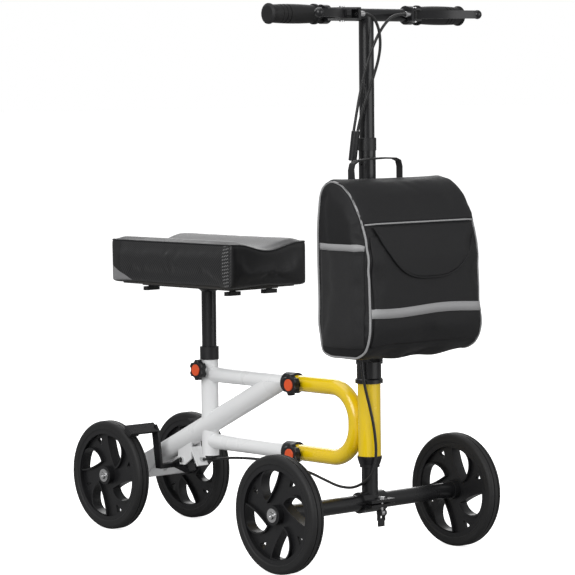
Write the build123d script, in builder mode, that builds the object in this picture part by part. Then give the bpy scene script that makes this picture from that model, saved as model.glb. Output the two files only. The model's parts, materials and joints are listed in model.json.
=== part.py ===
from build123d import *
import math
import os

# A steerable knee scooter: four 8 inch wheels, a white rear frame that carries the knee pad, a yellow
# front frame with the head tube, a steered front axle, and a folding, telescoping handlebar column with
# a bag. X points forward, Y to the rider's left, Z up. The floor is Z = 0.

# ---------------------------------------------------------------- overall sizes
wheelbase = 600.0
front_track = 424.0
rear_track = 197.0
handlebar_height = 945.0  # bar centre above the floor
handlebar_width = 456.0
bag_reach = 144.5  # how far the bag's front stands ahead of the front axle

# ---------------------------------------------------------------- wheels
wheel_radius = 101.6
tyre_width = 27.0
tyre_thickness = 16.6
rim_wall = 7.5
tyre_seat_radius = wheel_radius - tyre_thickness
rim_inner_radius = tyre_seat_radius - rim_wall
leaf_scale = rim_inner_radius / 77.5  # the leaf and fork points below are drawn for a 77.5 rim
rim_width = 24.0
web_thickness = 8.0
leaf_lip_height = 20.0  # the raised lip round each leaf-shaped hole, across the wheel
leaf_lip_wall = 3.2
hub_radius = 17.0
hub_width = 32.0
wheel_bearing_outer = 22.0
wheel_bearing_bore = 8.0
wheel_bearing_width = 7.0
spoke_count = 4
wheel_turn = {"rear_right": -11.0, "rear_left": 9.5, "front_right": 0.0, "front_left": -8.0}  # degrees
wheel_facing = {"rear_right": 1, "rear_left": 1, "front_right": -1, "front_left": 1}  # which way the leaves lean

# ---------------------------------------------------------------- clearances
running_clearance = 0.05  # radial, a shaft or pin that turns in a bore
sliding_clearance = 0.35  # radial, one tube telescoping in another
body_gap = 0.4  # between faces of pieces that move past each other
axle_gap = 1.0  # spacer between an axle end and the hub

# ---------------------------------------------------------------- places along the scooter
rear_axle_x = -(wheelbase + bag_reach - wheel_radius) / 2  # puts the origin at the middle of the box
head_x = rear_axle_x + wheelbase
seat_x = rear_axle_x + 173.5
joint_x = rear_axle_x + 402.0  # where the yellow arms meet the white tubes
axle_z = wheel_radius

# ---------------------------------------------------------------- white rear frame
seat_tube_outer = 32.0
seat_tube_bottom = 145.0
seat_tube_top = 324.0
seat_post_outer = 27.0
frame_tube_outer = 28.0
frame_tube_wall = 1.8
upper_tube_z = 295.5
lower_tube_z = 171.5
spigot_length = 42.0  # how far each white tube's reduced end reaches into the yellow arm
diagonal_outer = 38.0
diagonal_wall = 2.0
diagonal_slope = 0.481
diagonal_z_at_seat = 202.7
crossbar_depth = 28.0
crossbar_height = 36.0
crossbar_centre_z = 107.0
crossbar_wall = 3.0
gusset_thickness = 4.0

# ---------------------------------------------------------------- yellow front frame
arm_outer = 28.5
arm_wall = 1.95
arm_bend_radius = 58.0
arm_setback = 33.0  # from the head tube's axis to the upright of the C
head_tube_outer = 40.0
head_tube_wall = 3.0
head_tube_bottom = 182.0
head_tube_top = 309.0
joint_collar_outer = 37.0
joint_collar_length = 26.0

# ---------------------------------------------------------------- steering
steerer_outer = 28.6
steerer_bore = 22.2
cup_outer = 48.5
cup_height = 8.5
cup_skirt = 10.0
lower_cup_outer = 43.0
lower_cup_height = 14.0
headset_bearing_outer = 39.0
headset_bearing_height = 6.0
axle_tube_outer = 28.0
axle_tube_bore = 23.0
axle_plug_length = 22.0
axle_bolt_diameter = 8.0
washer_diameter = 24.0
washer_thickness = 1.6
saddle_outer = 37.0
saddle_width = 56.0
flange_reach = 34.0
flange_thickness = 5.0

# ---------------------------------------------------------------- folding hinge
fold_pin_z = 388.0
fold_pin_diameter = 10.0
fold_ear_radius = 14.0
fold_ear_thickness = 5.8
fold_tongue_width = 28.0
stem_sleeve_outer = 43.0
stem_sleeve_top = 346.0
column_foot_outer = 36.0
column_foot_height = 26.0
foot_rise = 16.0  # from the pin to the foot's underside

# ---------------------------------------------------------------- column and handlebar
column_outer = 29.6
column_top = 712.0
column_collar_outer = 32.0
column_collar_height = 22.0
stem_outer = 26.0
stem_wall = 2.0
stem_bottom = 600.0
bar_outer = 22.2
bar_wall = 2.0
grip_outer = 33.0
grip_length = 108.0
grip_end_wall = 4.0
pull_pin_z = 690.0

# ---------------------------------------------------------------- brake levers
lever_clamp_y = 100.0
lever_clamp_width = 13.0
lever_clamp_outer = 33.0
lever_pivot_y = 86.0
lever_pivot_reach = 31.0
lever_tip_y = 187.0
lever_tip_reach = 84.0
lever_height = 14.0
lever_cheek = 2.2
barrel_y = 58.0
barrel_reach = 45.0

# ---------------------------------------------------------------- knee pad and its seat post
pad_length = 350.0
pad_width = 188.0
pad_bottom = 466.0
pad_ridge_top = 547.0
pad_dip_top = 534.0
pad_offset = 3.0  # the plate's middle stands this far ahead of the post
pad_setback = 5.0  # and the pad's middle this far behind the plate's
pad_skirt = 6.0
board_thickness = 10.0
plate_thickness = 4.0
plate_length = 262.0
plate_width = 118.0
post_bottom = 252.0
pad_knob_x = 115.0
pad_knob_y = 44.0
pad_knob_length = 35.0
pad_knob_width = 13.0
pad_knob_height = 9.0
seat_collar_wall = 1.5  # over the seat tube
seat_collar_outer = seat_tube_outer + 2 * seat_collar_wall
seat_collar_height = 24.0

# ---------------------------------------------------------------- star knobs
star_outer = 38.0
star_lobes = 6
star_thickness = 13.5
star_cap_diameter = 21.0
star_cap_height = 2.0
star_boss_diameter = 17.0
star_stud_diameter = 8.0
seat_knob_z = 305.0
frame_knob_x = rear_axle_x + 430.0

# ---------------------------------------------------------------- rear brake
brake_pivot_x = rear_axle_x + 105.0
brake_pivot_z = 131.0
brake_pivot_bolt = 6.0
brake_bar_x = rear_axle_x + 78.0
brake_bar_z = 119.0
brake_bar_depth = 14.0
brake_bar_height = 8.0
brake_arm_y = 42.0  # inner face of each arm
brake_arm_width = 17.0
brake_arm_thickness = 5.0
brake_shoe_angle = 53.0  # round the tyre from straight ahead
brake_pad_gap = 2.5
brake_pad_thickness = 6.0
brake_pad_length = 20.0
brake_pad_width = 24.0
brake_anchor_x = rear_axle_x + 116.0
brake_anchor_z = 112.0
cable_stop_x = rear_axle_x + 147.0
cable_stop_z = 134.0

# ---------------------------------------------------------------- bag
bag_back = head_x + 18.6
bag_front = head_x + bag_reach
bag_width = 272.0
bag_bottom = 362.0
bag_top = 672.0
bag_wall = 3.0
strap_height = 25.0
strap_thickness = 2.0

cable_diameter = 5.0

os.makedirs("parts", exist_ok=True)


def save(builder, name):
    """Label a finished piece and write its STEP file."""
    builder.part.label = name
    export_step(builder.part, f"parts/{name}.step")


def upright(z):
    """A level workplane at height z."""
    return Plane.XY.offset(z)


def facing_y(x, y, z, towards=1):
    """A workplane whose normal points along +Y, or along -Y with towards=-1."""
    return Plane(origin=(x, y, z), x_dir=(1, 0, 0), z_dir=(0, towards, 0))


def along(start, end):
    """A workplane at start whose normal points at end."""
    return Plane(origin=start, z_dir=Vector(*end) - Vector(*start))


# ================================================================ wheels
def leaf_outline(quarter, grow=0.0):
    """One leaf-shaped hole: a tip by the hub, a broad end along the rim and a sharp leading corner."""
    middle = Vector(61 * leaf_scale, 0).rotate(Axis.Z, 103 + quarter)
    polar = [(29.5, 134), (43, 96), (58, 86), (74.5, 82), (75.5, 93), (75.5, 104), (72.5, 113), (59, 126)]
    points = []
    for distance, angle in polar:
        point = Vector(distance * leaf_scale, 0).rotate(Axis.Z, angle + quarter)
        points.append(point + (point - middle).normalized() * grow)
    tip, inner_side, outer_side, corner, rim_middle, rim_end, shoulder, flank = points
    Spline(tip, inner_side, outer_side, corner)
    ThreePointArc(corner, rim_middle, rim_end)
    Spline(rim_end, shoulder, flank, tip)


def fork_outline(quarter):
    """The small rounded triangle where a spoke forks, close to the rim."""
    corners = [(56.5, 58.8), (73.0, 61.0), (73.0, 49.5)]
    Polyline(*[Vector(r * leaf_scale, 0).rotate(Axis.Z, a + quarter) for r, a in corners], close=True)


def make_wheel(name, x, y):
    """Moulded wheel with four forked spokes; its axis lies along Y."""
    quarters = [360 / spoke_count * step for step in range(spoke_count)]
    turn = math.radians(wheel_turn[name])
    plane = Plane(origin=(x, y, axle_z), x_dir=(math.cos(turn), 0, math.sin(turn)),
                  z_dir=(0, wheel_facing[name], 0))
    with BuildPart() as wheel:
        with BuildSketch(plane):
            Circle(tyre_seat_radius)
            Circle(rim_inner_radius, mode=Mode.SUBTRACT)
        extrude(amount=rim_width / 2, both=True)
        with BuildSketch(plane):
            Circle(rim_inner_radius + 1)
        extrude(amount=web_thickness / 2, both=True)
        with BuildSketch(plane):
            for quarter in quarters:
                with BuildLine():
                    leaf_outline(quarter, leaf_lip_wall)
                make_face()
            Circle(rim_inner_radius + 1, mode=Mode.INTERSECT)
        extrude(amount=leaf_lip_height / 2, both=True)
        with BuildSketch(plane):
            for quarter in quarters:
                with BuildLine():
                    leaf_outline(quarter)
                make_face()
        extrude(amount=tyre_width, both=True, mode=Mode.SUBTRACT)
        with BuildSketch(plane) as forks:
            for quarter in quarters:
                with BuildLine():
                    fork_outline(quarter)
                make_face()
            fillet(forks.vertices(), radius=1.5)
        extrude(amount=tyre_width, both=True, mode=Mode.SUBTRACT)
        with BuildSketch(plane):
            Circle(hub_radius)
        extrude(amount=hub_width / 2, both=True)
        with BuildSketch(plane):
            Circle(wheel_bearing_bore / 2 + 3)
        extrude(amount=hub_width, both=True, mode=Mode.SUBTRACT)
        for side in (1, -1):
            with BuildSketch(plane.offset(side * hub_width / 2)):
                Circle(wheel_bearing_outer / 2 + running_clearance)
            extrude(amount=-side * wheel_bearing_width, mode=Mode.SUBTRACT)
    save(wheel, f"wheel_{name}")


def make_tyre(name, x, y):
    """Solid tyre with a rounded crown and two tread grooves."""
    half = tyre_width / 2
    section = Plane(origin=(x, y, axle_z), x_dir=(0, 1, 0), z_dir=(1, 0, 0))
    groove_y, groove_half, groove_depth = 4.6, 0.9, 1.6
    with BuildPart() as tyre:
        with BuildSketch(section):
            with BuildLine():
                Polyline((-rim_width / 2, tyre_seat_radius), (rim_width / 2, tyre_seat_radius),
                         (half, tyre_seat_radius + 2), (half, wheel_radius - 6))
                ThreePointArc((half, wheel_radius - 6), (half - 2.4, wheel_radius - 1.9), (half - 6.5, wheel_radius))
                Line((half - 6.5, wheel_radius), (6.5 - half, wheel_radius))
                ThreePointArc((6.5 - half, wheel_radius), (2.4 - half, wheel_radius - 1.9), (-half, wheel_radius - 6))
                Polyline((-half, wheel_radius - 6), (-half, tyre_seat_radius + 2),
                         (-rim_width / 2, tyre_seat_radius))
            make_face()
            with Locations((groove_y, wheel_radius), (-groove_y, wheel_radius)):
                Rectangle(2 * groove_half, 2 * groove_depth, mode=Mode.SUBTRACT)
        revolve(axis=Axis((x, y, axle_z), (0, 1, 0)))
    save(tyre, f"tyre_{name}")


def rod(start, end, diameter, bore=0.0):
    """A round bar or tube between two points."""
    with BuildPart() as piece:
        with BuildSketch(along(start, end)):
            Circle(diameter / 2)
            if bore:
                Circle(bore / 2, mode=Mode.SUBTRACT)
        extrude(amount=(Vector(*end) - Vector(*start)).length)
    return piece.part


def wheel_bearings(x, track):
    """Two ball bearings in each of a pair of hubs, drawn as plain rings."""
    with BuildPart() as rings:
        for y in (-track / 2, track / 2):
            for side in (1, -1):
                face = y + side * hub_width / 2
                inner = face - side * wheel_bearing_width
                add(rod((x, inner, axle_z), (x, face, axle_z), wheel_bearing_outer, wheel_bearing_bore))
    return rings.part


def wheel_bolts(x, track, grip):
    """Wheel bolts with a broad washer and a domed socket head, one on each side."""
    head_height = axle_bolt_diameter * 0.5
    with BuildPart() as bolts:
        for side in (1, -1):
            face = side * (track / 2 + hub_width / 2)
            inner = side * (track / 2 - hub_width / 2 - grip)
            under_head = face + side * washer_thickness
            add(rod((x, inner, axle_z), (x, under_head, axle_z), axle_bolt_diameter))
            add(rod((x, face, axle_z), (x, under_head, axle_z), washer_diameter))
            with BuildSketch(facing_y(x, under_head, axle_z, side)):
                Circle(axle_bolt_diameter * 0.9)
            extrude(amount=head_height, taper=18)
            with BuildSketch(facing_y(x, under_head + side * 1.5, axle_z, side)):
                RegularPolygon(axle_bolt_diameter * 0.36, 6)
            extrude(amount=head_height, mode=Mode.SUBTRACT)
    return bolts.part


for place, wheel_x, wheel_y in (
    ("rear_right", rear_axle_x, -rear_track / 2),
    ("rear_left", rear_axle_x, rear_track / 2),
    ("front_right", head_x, -front_track / 2),
    ("front_left", head_x, front_track / 2),
):
    make_wheel(place, wheel_x, wheel_y)
    make_tyre(place, wheel_x, wheel_y)

bolt_grip = 20.0  # how deep each wheel bolt goes into its axle

with BuildPart() as front_bearings:
    add(wheel_bearings(head_x, front_track))
save(front_bearings, "front_wheel_bearings")


# ================================================================ white rear frame
def diagonal_height(x):
    """Height of the diagonal tube's centre line at a place along the scooter."""
    return diagonal_z_at_seat + diagonal_slope * (x - seat_x)


seat_tube_bore = seat_post_outer + 2 * sliding_clearance
boss_length = 4.0

with BuildPart() as seat_tube:
    with BuildSketch(upright(seat_tube_bottom)):
        Circle(seat_tube_outer / 2)
    extrude(amount=seat_tube_top - seat_tube_bottom)
    with BuildSketch(facing_y(0, -seat_tube_outer / 2 - boss_length, seat_knob_z)):
        Circle(9)
    extrude(amount=boss_length + 6)
    with BuildSketch(upright(seat_tube_bottom - 1)):
        Circle(seat_tube_bore / 2)
    extrude(amount=seat_tube_top, mode=Mode.SUBTRACT)
    with BuildSketch(facing_y(0, -seat_tube_outer / 2 - boss_length - 1, seat_knob_z)):
        Circle(star_stud_diameter / 2 + running_clearance)
    extrude(amount=16, mode=Mode.SUBTRACT)
seat_tube.part = seat_tube.part.moved(Location((seat_x, 0, 0)))
save(seat_tube, "seat_tube")

with BuildPart() as seat_collar:
    with BuildSketch(upright(seat_tube_top)):
        with Locations((seat_x, 0)):
            Circle(seat_collar_outer / 2)
            Circle(seat_post_outer / 2 + running_clearance, mode=Mode.SUBTRACT)
    extrude(amount=seat_collar_height - 1)
    with BuildSketch(upright(seat_tube_top - 1)):
        with Locations((seat_x, 0)):
            Circle(seat_collar_outer / 2)
            Circle(seat_tube_outer / 2, mode=Mode.SUBTRACT)
    extrude(amount=1)
    chamfer(seat_collar.edges().group_by(Axis.Z)[-1], length=0.8)
save(seat_collar, "seat_collar")

arm_bore = arm_outer - 2 * arm_wall
spigot_outer = arm_bore - 2 * running_clearance


def make_level_tube(name, height):
    """White tube from the seat tube to the frame joint, with its end reduced to plug into the yellow arm."""
    with BuildPart() as tube:
        with BuildSketch(Plane.YZ.offset(seat_x)):
            with Locations((0, height)):
                Circle(frame_tube_outer / 2)
        extrude(amount=joint_x - seat_x)
        with BuildSketch(Plane.YZ.offset(joint_x)):
            with Locations((0, height)):
                Circle(spigot_outer / 2)
        extrude(amount=spigot_length)
        with BuildSketch(Plane.YZ.offset(seat_x)):
            with Locations((0, height)):
                Circle(spigot_outer / 2 - frame_tube_wall)
        extrude(amount=joint_x - seat_x + spigot_length, mode=Mode.SUBTRACT)
        with BuildSketch(upright(seat_tube_bottom - 10)):
            with Locations((seat_x, 0)):
                Circle(seat_tube_outer / 2)
        extrude(amount=seat_tube_top, mode=Mode.SUBTRACT)
        with BuildSketch(facing_y(frame_knob_x, -arm_outer, height)):
            Circle(star_stud_diameter / 2 + running_clearance)
        extrude(amount=arm_outer, mode=Mode.SUBTRACT)
    save(tube, name)


make_level_tube("upper_frame_tube", upper_tube_z)
make_level_tube("lower_frame_tube", lower_tube_z)

diagonal_back = Vector(rear_axle_x - 30, 0, diagonal_height(rear_axle_x - 30))
diagonal_front = Vector(joint_x - 14, 0, diagonal_height(joint_x - 14))
crossbar_top = crossbar_centre_z + crossbar_height / 2
crossbar_bottom = crossbar_centre_z - crossbar_height / 2
crossbar_length = rear_track - hub_width - 2 * axle_gap

with BuildPart() as diagonal_tube:
    with BuildSketch(along(diagonal_back, diagonal_front)):
        Circle(diagonal_outer / 2)
        Circle(diagonal_outer / 2 - diagonal_wall, mode=Mode.SUBTRACT)
    extrude(amount=(diagonal_front - diagonal_back).length)
    with BuildSketch(upright(seat_tube_bottom - 60)):
        with Locations((seat_x, 0)):
            Circle(seat_tube_outer / 2)
    extrude(amount=seat_tube_top, mode=Mode.SUBTRACT)
    for height in (upper_tube_z, lower_tube_z):
        with BuildSketch(Plane.YZ.offset(seat_x)):
            with Locations((0, height)):
                Circle(frame_tube_outer / 2)
        extrude(amount=wheelbase, mode=Mode.SUBTRACT)
    split(bisect_by=Plane.XY.offset(upper_tube_z), keep=Keep.BOTTOM)
    split(bisect_by=Plane.YZ.offset(joint_x - joint_collar_length / 2), keep=Keep.BOTTOM)
    with BuildSketch(upright(crossbar_bottom - 60)):
        with Locations((rear_axle_x, 0)):
            Rectangle(crossbar_depth, crossbar_length)
    extrude(amount=crossbar_height + 60, mode=Mode.SUBTRACT)
    split(bisect_by=Plane.YZ.offset(rear_axle_x - crossbar_depth / 2 + 3), keep=Keep.TOP)
diagonal_tube.part = Part(diagonal_tube.part.solids().sort_by(SortBy.VOLUME)[-1].wrapped)
save(diagonal_tube, "diagonal_tube")

with BuildPart() as rear_crossbar:
    with BuildSketch(Plane.XZ.offset(crossbar_length / 2)):
        with Locations((rear_axle_x, crossbar_centre_z)):
            RectangleRounded(crossbar_depth, crossbar_height, 4)
    extrude(amount=-crossbar_length)
    with BuildSketch(Plane.XZ.offset(crossbar_length / 2 - bolt_grip)):
        with Locations((rear_axle_x, crossbar_centre_z)):
            Rectangle(crossbar_depth - 2 * crossbar_wall, crossbar_height - 2 * crossbar_wall)
    extrude(amount=2 * bolt_grip - crossbar_length, mode=Mode.SUBTRACT)
    with BuildSketch(Plane.XZ.offset(crossbar_length / 2 + 1)):
        with Locations((rear_axle_x, axle_z)):
            Circle(axle_bolt_diameter / 2)
    extrude(amount=-crossbar_length - 2, mode=Mode.SUBTRACT)

gusset_back = rear_axle_x - crossbar_depth / 2 + 3
gusset_front = rear_axle_x + 52.0
front_face = rear_axle_x + crossbar_depth / 2
with BuildPart() as gussets:
    for side in (1, -1):
        with BuildSketch(facing_y(0, side * diagonal_outer / 2, 0, -1)):
            with BuildLine():
                Polyline((gusset_back, crossbar_top), (gusset_back, diagonal_height(gusset_back) + 14),
                         (gusset_front, diagonal_height(gusset_front) + 10),
                         (gusset_front, diagonal_height(gusset_front) - 12),
                         (front_face, crossbar_bottom + 8), (front_face, crossbar_top), close=True)
            make_face()
        extrude(amount=-side * gusset_thickness)

with BuildPart() as rear_axle_frame:
    add(rear_crossbar.part)
    add(gussets.part)
save(rear_axle_frame, "rear_crossbar")

plate_inner, plate_outer = 9.0, 12.0  # across the scooter, each brake bracket plate
bracket_back, bracket_front = rear_axle_x + 94.0, rear_axle_x + 132.0
with BuildPart() as brake_bracket:
    for side in (1, -1):
        with BuildSketch(facing_y(0, side * plate_inner, 0, -1)):
            with BuildLine():
                Polyline((bracket_back, diagonal_height(bracket_back)), (bracket_back, brake_pivot_z + 6),
                         (brake_pivot_x - 6, brake_pivot_z - 9), (brake_pivot_x + 8, brake_pivot_z - 9),
                         (bracket_front, brake_pivot_z + 4), (bracket_front, diagonal_height(bracket_front)),
                         close=True)
            make_face()
            with Locations((brake_pivot_x, brake_pivot_z)):
                Circle(brake_pivot_bolt / 2, mode=Mode.SUBTRACT)
        extrude(amount=-side * (plate_outer - plate_inner))
    with BuildSketch(facing_y(0, plate_outer, 0, -1)):
        with BuildLine():
            Polyline((bracket_front - 4, brake_pivot_z + 26), (bracket_front + 1, brake_pivot_z + 26),
                     (cable_stop_x + 6, cable_stop_z - 10), (cable_stop_x + 1, cable_stop_z - 12), close=True)
        make_face()
    extrude(amount=2 * plate_outer)
    add(rod(diagonal_back, diagonal_front, diagonal_outer), mode=Mode.SUBTRACT)
    add(rod((cable_stop_x + 20, 0, cable_stop_z + 2), (cable_stop_x - 20, 0, cable_stop_z - 2), 8),
        mode=Mode.SUBTRACT)
save(brake_bracket, "brake_bracket")

with BuildPart() as rear_fasteners:
    add(wheel_bolts(rear_axle_x, rear_track, bolt_grip))
    add(rod((brake_pivot_x, -plate_outer - 2, brake_pivot_z), (brake_pivot_x, plate_outer + 2, brake_pivot_z),
            brake_pivot_bolt))
    for side in (1, -1):
        add(rod((brake_pivot_x, side * plate_outer, brake_pivot_z),
                (brake_pivot_x, side * (plate_outer + 4), brake_pivot_z), 10))
    add(rod((cable_stop_x + 8, 0, cable_stop_z + 0.8), (cable_stop_x - 8, 0, cable_stop_z - 0.8), 8, 3))
save(rear_fasteners, "rear_fasteners")


# ================================================================ yellow front frame
arm_start = joint_x + 1
upright_x = head_x - arm_setback
with BuildPart() as c_frame:
    with BuildLine() as c_path:
        FilletPolyline((arm_start, 0, upper_tube_z), (upright_x, 0, upper_tube_z),
                       (upright_x, 0, lower_tube_z), (arm_start, 0, lower_tube_z), radius=arm_bend_radius)
    with BuildSketch(Plane(origin=c_path.line @ 0, z_dir=c_path.line % 0)):
        Circle(arm_outer / 2)
        Circle(arm_bore / 2, mode=Mode.SUBTRACT)
    sweep(path=c_path.line)
    add(rod((head_x, 0, 0), (head_x, 0, head_tube_top + 100), head_tube_outer), mode=Mode.SUBTRACT)
    for height in (upper_tube_z, lower_tube_z):
        add(rod((frame_knob_x, -arm_outer, height), (frame_knob_x, 0, height),
                star_stud_diameter + 2 * running_clearance), mode=Mode.SUBTRACT)
save(c_frame, "c_frame_tube")

with BuildPart() as joint_collars:
    for height in (upper_tube_z, lower_tube_z):
        back, front = joint_x - joint_collar_length / 2, joint_x + joint_collar_length / 2
        add(rod((back, 0, height), (arm_start, 0, height), joint_collar_outer,
                frame_tube_outer + 2 * running_clearance))
        add(rod((arm_start, 0, height), (front, 0, height), joint_collar_outer,
                arm_outer + 2 * running_clearance))
save(joint_collars, "joint_collars")

head_tube_bore = head_tube_outer - 2 * head_tube_wall
with BuildPart() as head_tube:
    add(rod((head_x, 0, head_tube_bottom), (head_x, 0, head_tube_top), head_tube_outer, head_tube_bore))
save(head_tube, "head_tube")

cup_bore = steerer_outer + 2 * body_gap
ring_outer = head_tube_bore
upper_seat = head_tube_top + cup_height - headset_bearing_height - 0.5
lower_seat = head_tube_bottom - lower_cup_height + headset_bearing_height + 0.5
with BuildPart() as headset_cups:
    with BuildSketch(Plane.XZ):
        with BuildLine():
            Polyline((cup_bore / 2, head_tube_top - cup_skirt), (ring_outer / 2, head_tube_top - cup_skirt),
                     (ring_outer / 2, head_tube_top), (cup_outer / 2, head_tube_top),
                     (cup_outer / 2, head_tube_top + cup_height - 2),
                     (cup_outer / 2 - 2, head_tube_top + cup_height), (ring_outer / 2, head_tube_top + cup_height),
                     (ring_outer / 2, upper_seat), (cup_bore / 2, upper_seat), close=True)
        make_face()
        with BuildLine():
            Polyline((cup_bore / 2, head_tube_bottom + cup_skirt), (ring_outer / 2, head_tube_bottom + cup_skirt),
                     (ring_outer / 2, head_tube_bottom), (lower_cup_outer / 2, head_tube_bottom),
                     (lower_cup_outer / 2, head_tube_bottom - 4),
                     (lower_cup_outer / 2 - 3, head_tube_bottom - lower_cup_height),
                     (ring_outer / 2, head_tube_bottom - lower_cup_height),
                     (ring_outer / 2, lower_seat), (cup_bore / 2, lower_seat), close=True)
        make_face()
    revolve(axis=Axis.Z)
headset_cups.part = headset_cups.part.moved(Location((head_x, 0, 0)))
save(headset_cups, "headset_cups")

ring_bore = steerer_outer + 2 * running_clearance
with BuildPart() as frame_bearings:
    add(wheel_bearings(rear_axle_x, rear_track))
    add(rod((head_x, 0, upper_seat), (head_x, 0, upper_seat + headset_bearing_height), ring_outer, ring_bore))
    add(rod((head_x, 0, lower_seat - headset_bearing_height), (head_x, 0, lower_seat), ring_outer, ring_bore))
save(frame_bearings, "frame_bearings")


# ================================================================ steering
axle_end = front_track / 2 - hub_width / 2 - axle_gap
saddle_reach = saddle_width / 2
slot_half = 1.5  # half the clamp's front slot
stud_x, stud_y = head_x + 25.0, 4.0
stud_diameter = 6.0
quick_pivot_drop = 17.6  # below the axle
quick_pivot_z = axle_z - quick_pivot_drop
race_top = head_tube_bottom - lower_cup_height - body_gap
sleeve_bottom = head_tube_top + cup_height + body_gap

with BuildPart() as front_axle:
    add(rod((head_x, -axle_end, axle_z), (head_x, axle_end, axle_z), axle_tube_outer))
    add(rod((head_x, axle_plug_length - axle_end, axle_z), (head_x, axle_end - axle_plug_length, axle_z),
            axle_tube_bore), mode=Mode.SUBTRACT)
    add(rod((head_x, -axle_end - 1, axle_z), (head_x, axle_end + 1, axle_z), axle_bolt_diameter),
        mode=Mode.SUBTRACT)
save(front_axle, "front_axle")

with BuildPart() as axle_clamp:
    add(rod((head_x, -saddle_reach, axle_z), (head_x, saddle_reach, axle_z), saddle_outer))
    with BuildSketch(Plane.XZ.offset(-saddle_reach)):
        with Locations((head_x + flange_reach / 2 + 4, axle_z)):
            Rectangle(flange_reach - 8, 2 * flange_thickness + 2 * slot_half)
    extrude(amount=2 * saddle_reach)
    add(rod((head_x, -saddle_reach, axle_z), (head_x, saddle_reach, axle_z), axle_tube_outer),
        mode=Mode.SUBTRACT)
    with BuildSketch(Plane.XZ.offset(-saddle_reach - 1)):
        with Locations((head_x + flange_reach, axle_z)):
            Rectangle(2 * flange_reach, 2 * slot_half)
    extrude(amount=2 * saddle_reach + 2, mode=Mode.SUBTRACT)
    add(rod((stud_x, stud_y, axle_z - 40), (stud_x, stud_y, axle_z + 40), stud_diameter), mode=Mode.SUBTRACT)
save(axle_clamp, "axle_clamp")

with BuildPart() as steerer:
    add(rod((head_x, 0, axle_z), (head_x, 0, stem_sleeve_top - 1), steerer_outer))
    add(rod((head_x, 0, axle_z), (head_x, 0, race_top), 35))
    add(rod((head_x, 0, axle_z), (head_x, 0, race_top - 5), 40), mode=Mode.SUBTRACT)
    add(rod((head_x, 0, axle_z), (head_x, 0, race_top - 1), steerer_outer))
    add(rod((head_x, -saddle_reach, axle_z), (head_x, saddle_reach, axle_z), saddle_outer),
        mode=Mode.SUBTRACT)
    add(rod((head_x, 0, axle_z + saddle_outer / 2 + 6), (head_x, 0, stem_sleeve_top), steerer_bore),
        mode=Mode.SUBTRACT)
save(steerer, "steerer_tube")

ear_inner = fold_tongue_width / 2 - 2
ear_outer = ear_inner + fold_ear_thickness
with BuildPart() as stem_base:
    add(rod((head_x, 0, sleeve_bottom), (head_x, 0, stem_sleeve_top), stem_sleeve_outer))
    for side in (1, -1):
        with BuildSketch(facing_y(0, side * ear_inner, 0, -1)):
            with Locations((head_x, fold_pin_z)):
                Circle(fold_ear_radius)
            with Locations((head_x, (fold_pin_z + stem_sleeve_top) / 2 - 2)):
                Rectangle(2 * fold_ear_radius, fold_pin_z - stem_sleeve_top + 4)
            with Locations((head_x, fold_pin_z)):
                Circle(fold_pin_diameter / 2, mode=Mode.SUBTRACT)
        extrude(amount=-side * fold_ear_thickness)
    add(rod((head_x, 0, sleeve_bottom), (head_x, 0, stem_sleeve_top - 1), steerer_outer), mode=Mode.SUBTRACT)
save(stem_base, "stem_base")

lock_y = ear_outer + 6.0
eye_half = 4.0
with BuildPart() as steering_fasteners:
    add(wheel_bolts(head_x, front_track, bolt_grip))
    add(rod((stud_x, stud_y, quick_pivot_z), (stud_x, stud_y, axle_z + 10), stud_diameter))
    flange_top = axle_z + slot_half + flange_thickness
    add(rod((stud_x, stud_y, flange_top), (stud_x, stud_y, flange_top + 4), 12))
    add(rod((stud_x, stud_y - eye_half, quick_pivot_z), (stud_x, stud_y + eye_half, quick_pivot_z), 10))
    add(rod((stud_x, stud_y - 9, quick_pivot_z), (stud_x, stud_y + 9, quick_pivot_z),
            4 + 2 * running_clearance), mode=Mode.SUBTRACT)
    add(rod((head_x, -ear_outer - 2, fold_pin_z), (head_x, ear_outer, fold_pin_z), fold_pin_diameter))
    add(rod((head_x, -ear_outer - 2, fold_pin_z), (head_x, -ear_outer, fold_pin_z), 16))
    with BuildSketch(facing_y(0, ear_outer, 0, 1)):
        with Locations((head_x, -fold_pin_z)):
            Rectangle(2 * eye_half, 2 * eye_half + 3)
    extrude(amount=11)
    add(rod((head_x - 9, lock_y, fold_pin_z), (head_x + 9, lock_y, fold_pin_z),
            5 + 2 * running_clearance), mode=Mode.SUBTRACT)
save(steering_fasteners, "steering_fasteners")

cheek = 2.6
with BuildPart() as quick_release:
    for side in (1, -1):
        near = stud_y + side * (eye_half + body_gap)
        with BuildSketch(facing_y(0, near, 0, -1)):
            with Locations((stud_x, quick_pivot_z)):
                Circle(6)
            with Locations((stud_x - 1.5, quick_pivot_z - 8)):
                Rectangle(7, 12)
        extrude(amount=-side * cheek)
    add(rod((stud_x, stud_y - 6, quick_pivot_z), (stud_x, stud_y + 6, quick_pivot_z), 4))
    with BuildSketch(upright(quick_pivot_z - 24)):
        with Locations((stud_x - 1.5, stud_y)):
            RectangleRounded(5, 2 * (eye_half + body_gap + cheek), 1.5)
    extrude(amount=14)
save(quick_release, "quick_release_lever")

with BuildPart() as fold_lock:
    for side in (1, -1):
        with BuildSketch(Plane.YZ.offset(head_x + side * (eye_half + body_gap))):
            with Locations((lock_y, fold_pin_z)):
                Circle(6)
            with Locations((lock_y + 1.5, fold_pin_z - 10)):
                Rectangle(6, 20)
        extrude(amount=side * cheek)
    add(rod((head_x - 6, lock_y, fold_pin_z), (head_x + 6, lock_y, fold_pin_z), 5))
    with BuildSketch(upright(fold_pin_z - 47)):
        with Locations((head_x, lock_y + 1.5)):
            RectangleRounded(2 * (eye_half + body_gap + cheek), 5, 1.8)
    extrude(amount=35)
save(fold_lock, "fold_lock_lever")


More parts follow.
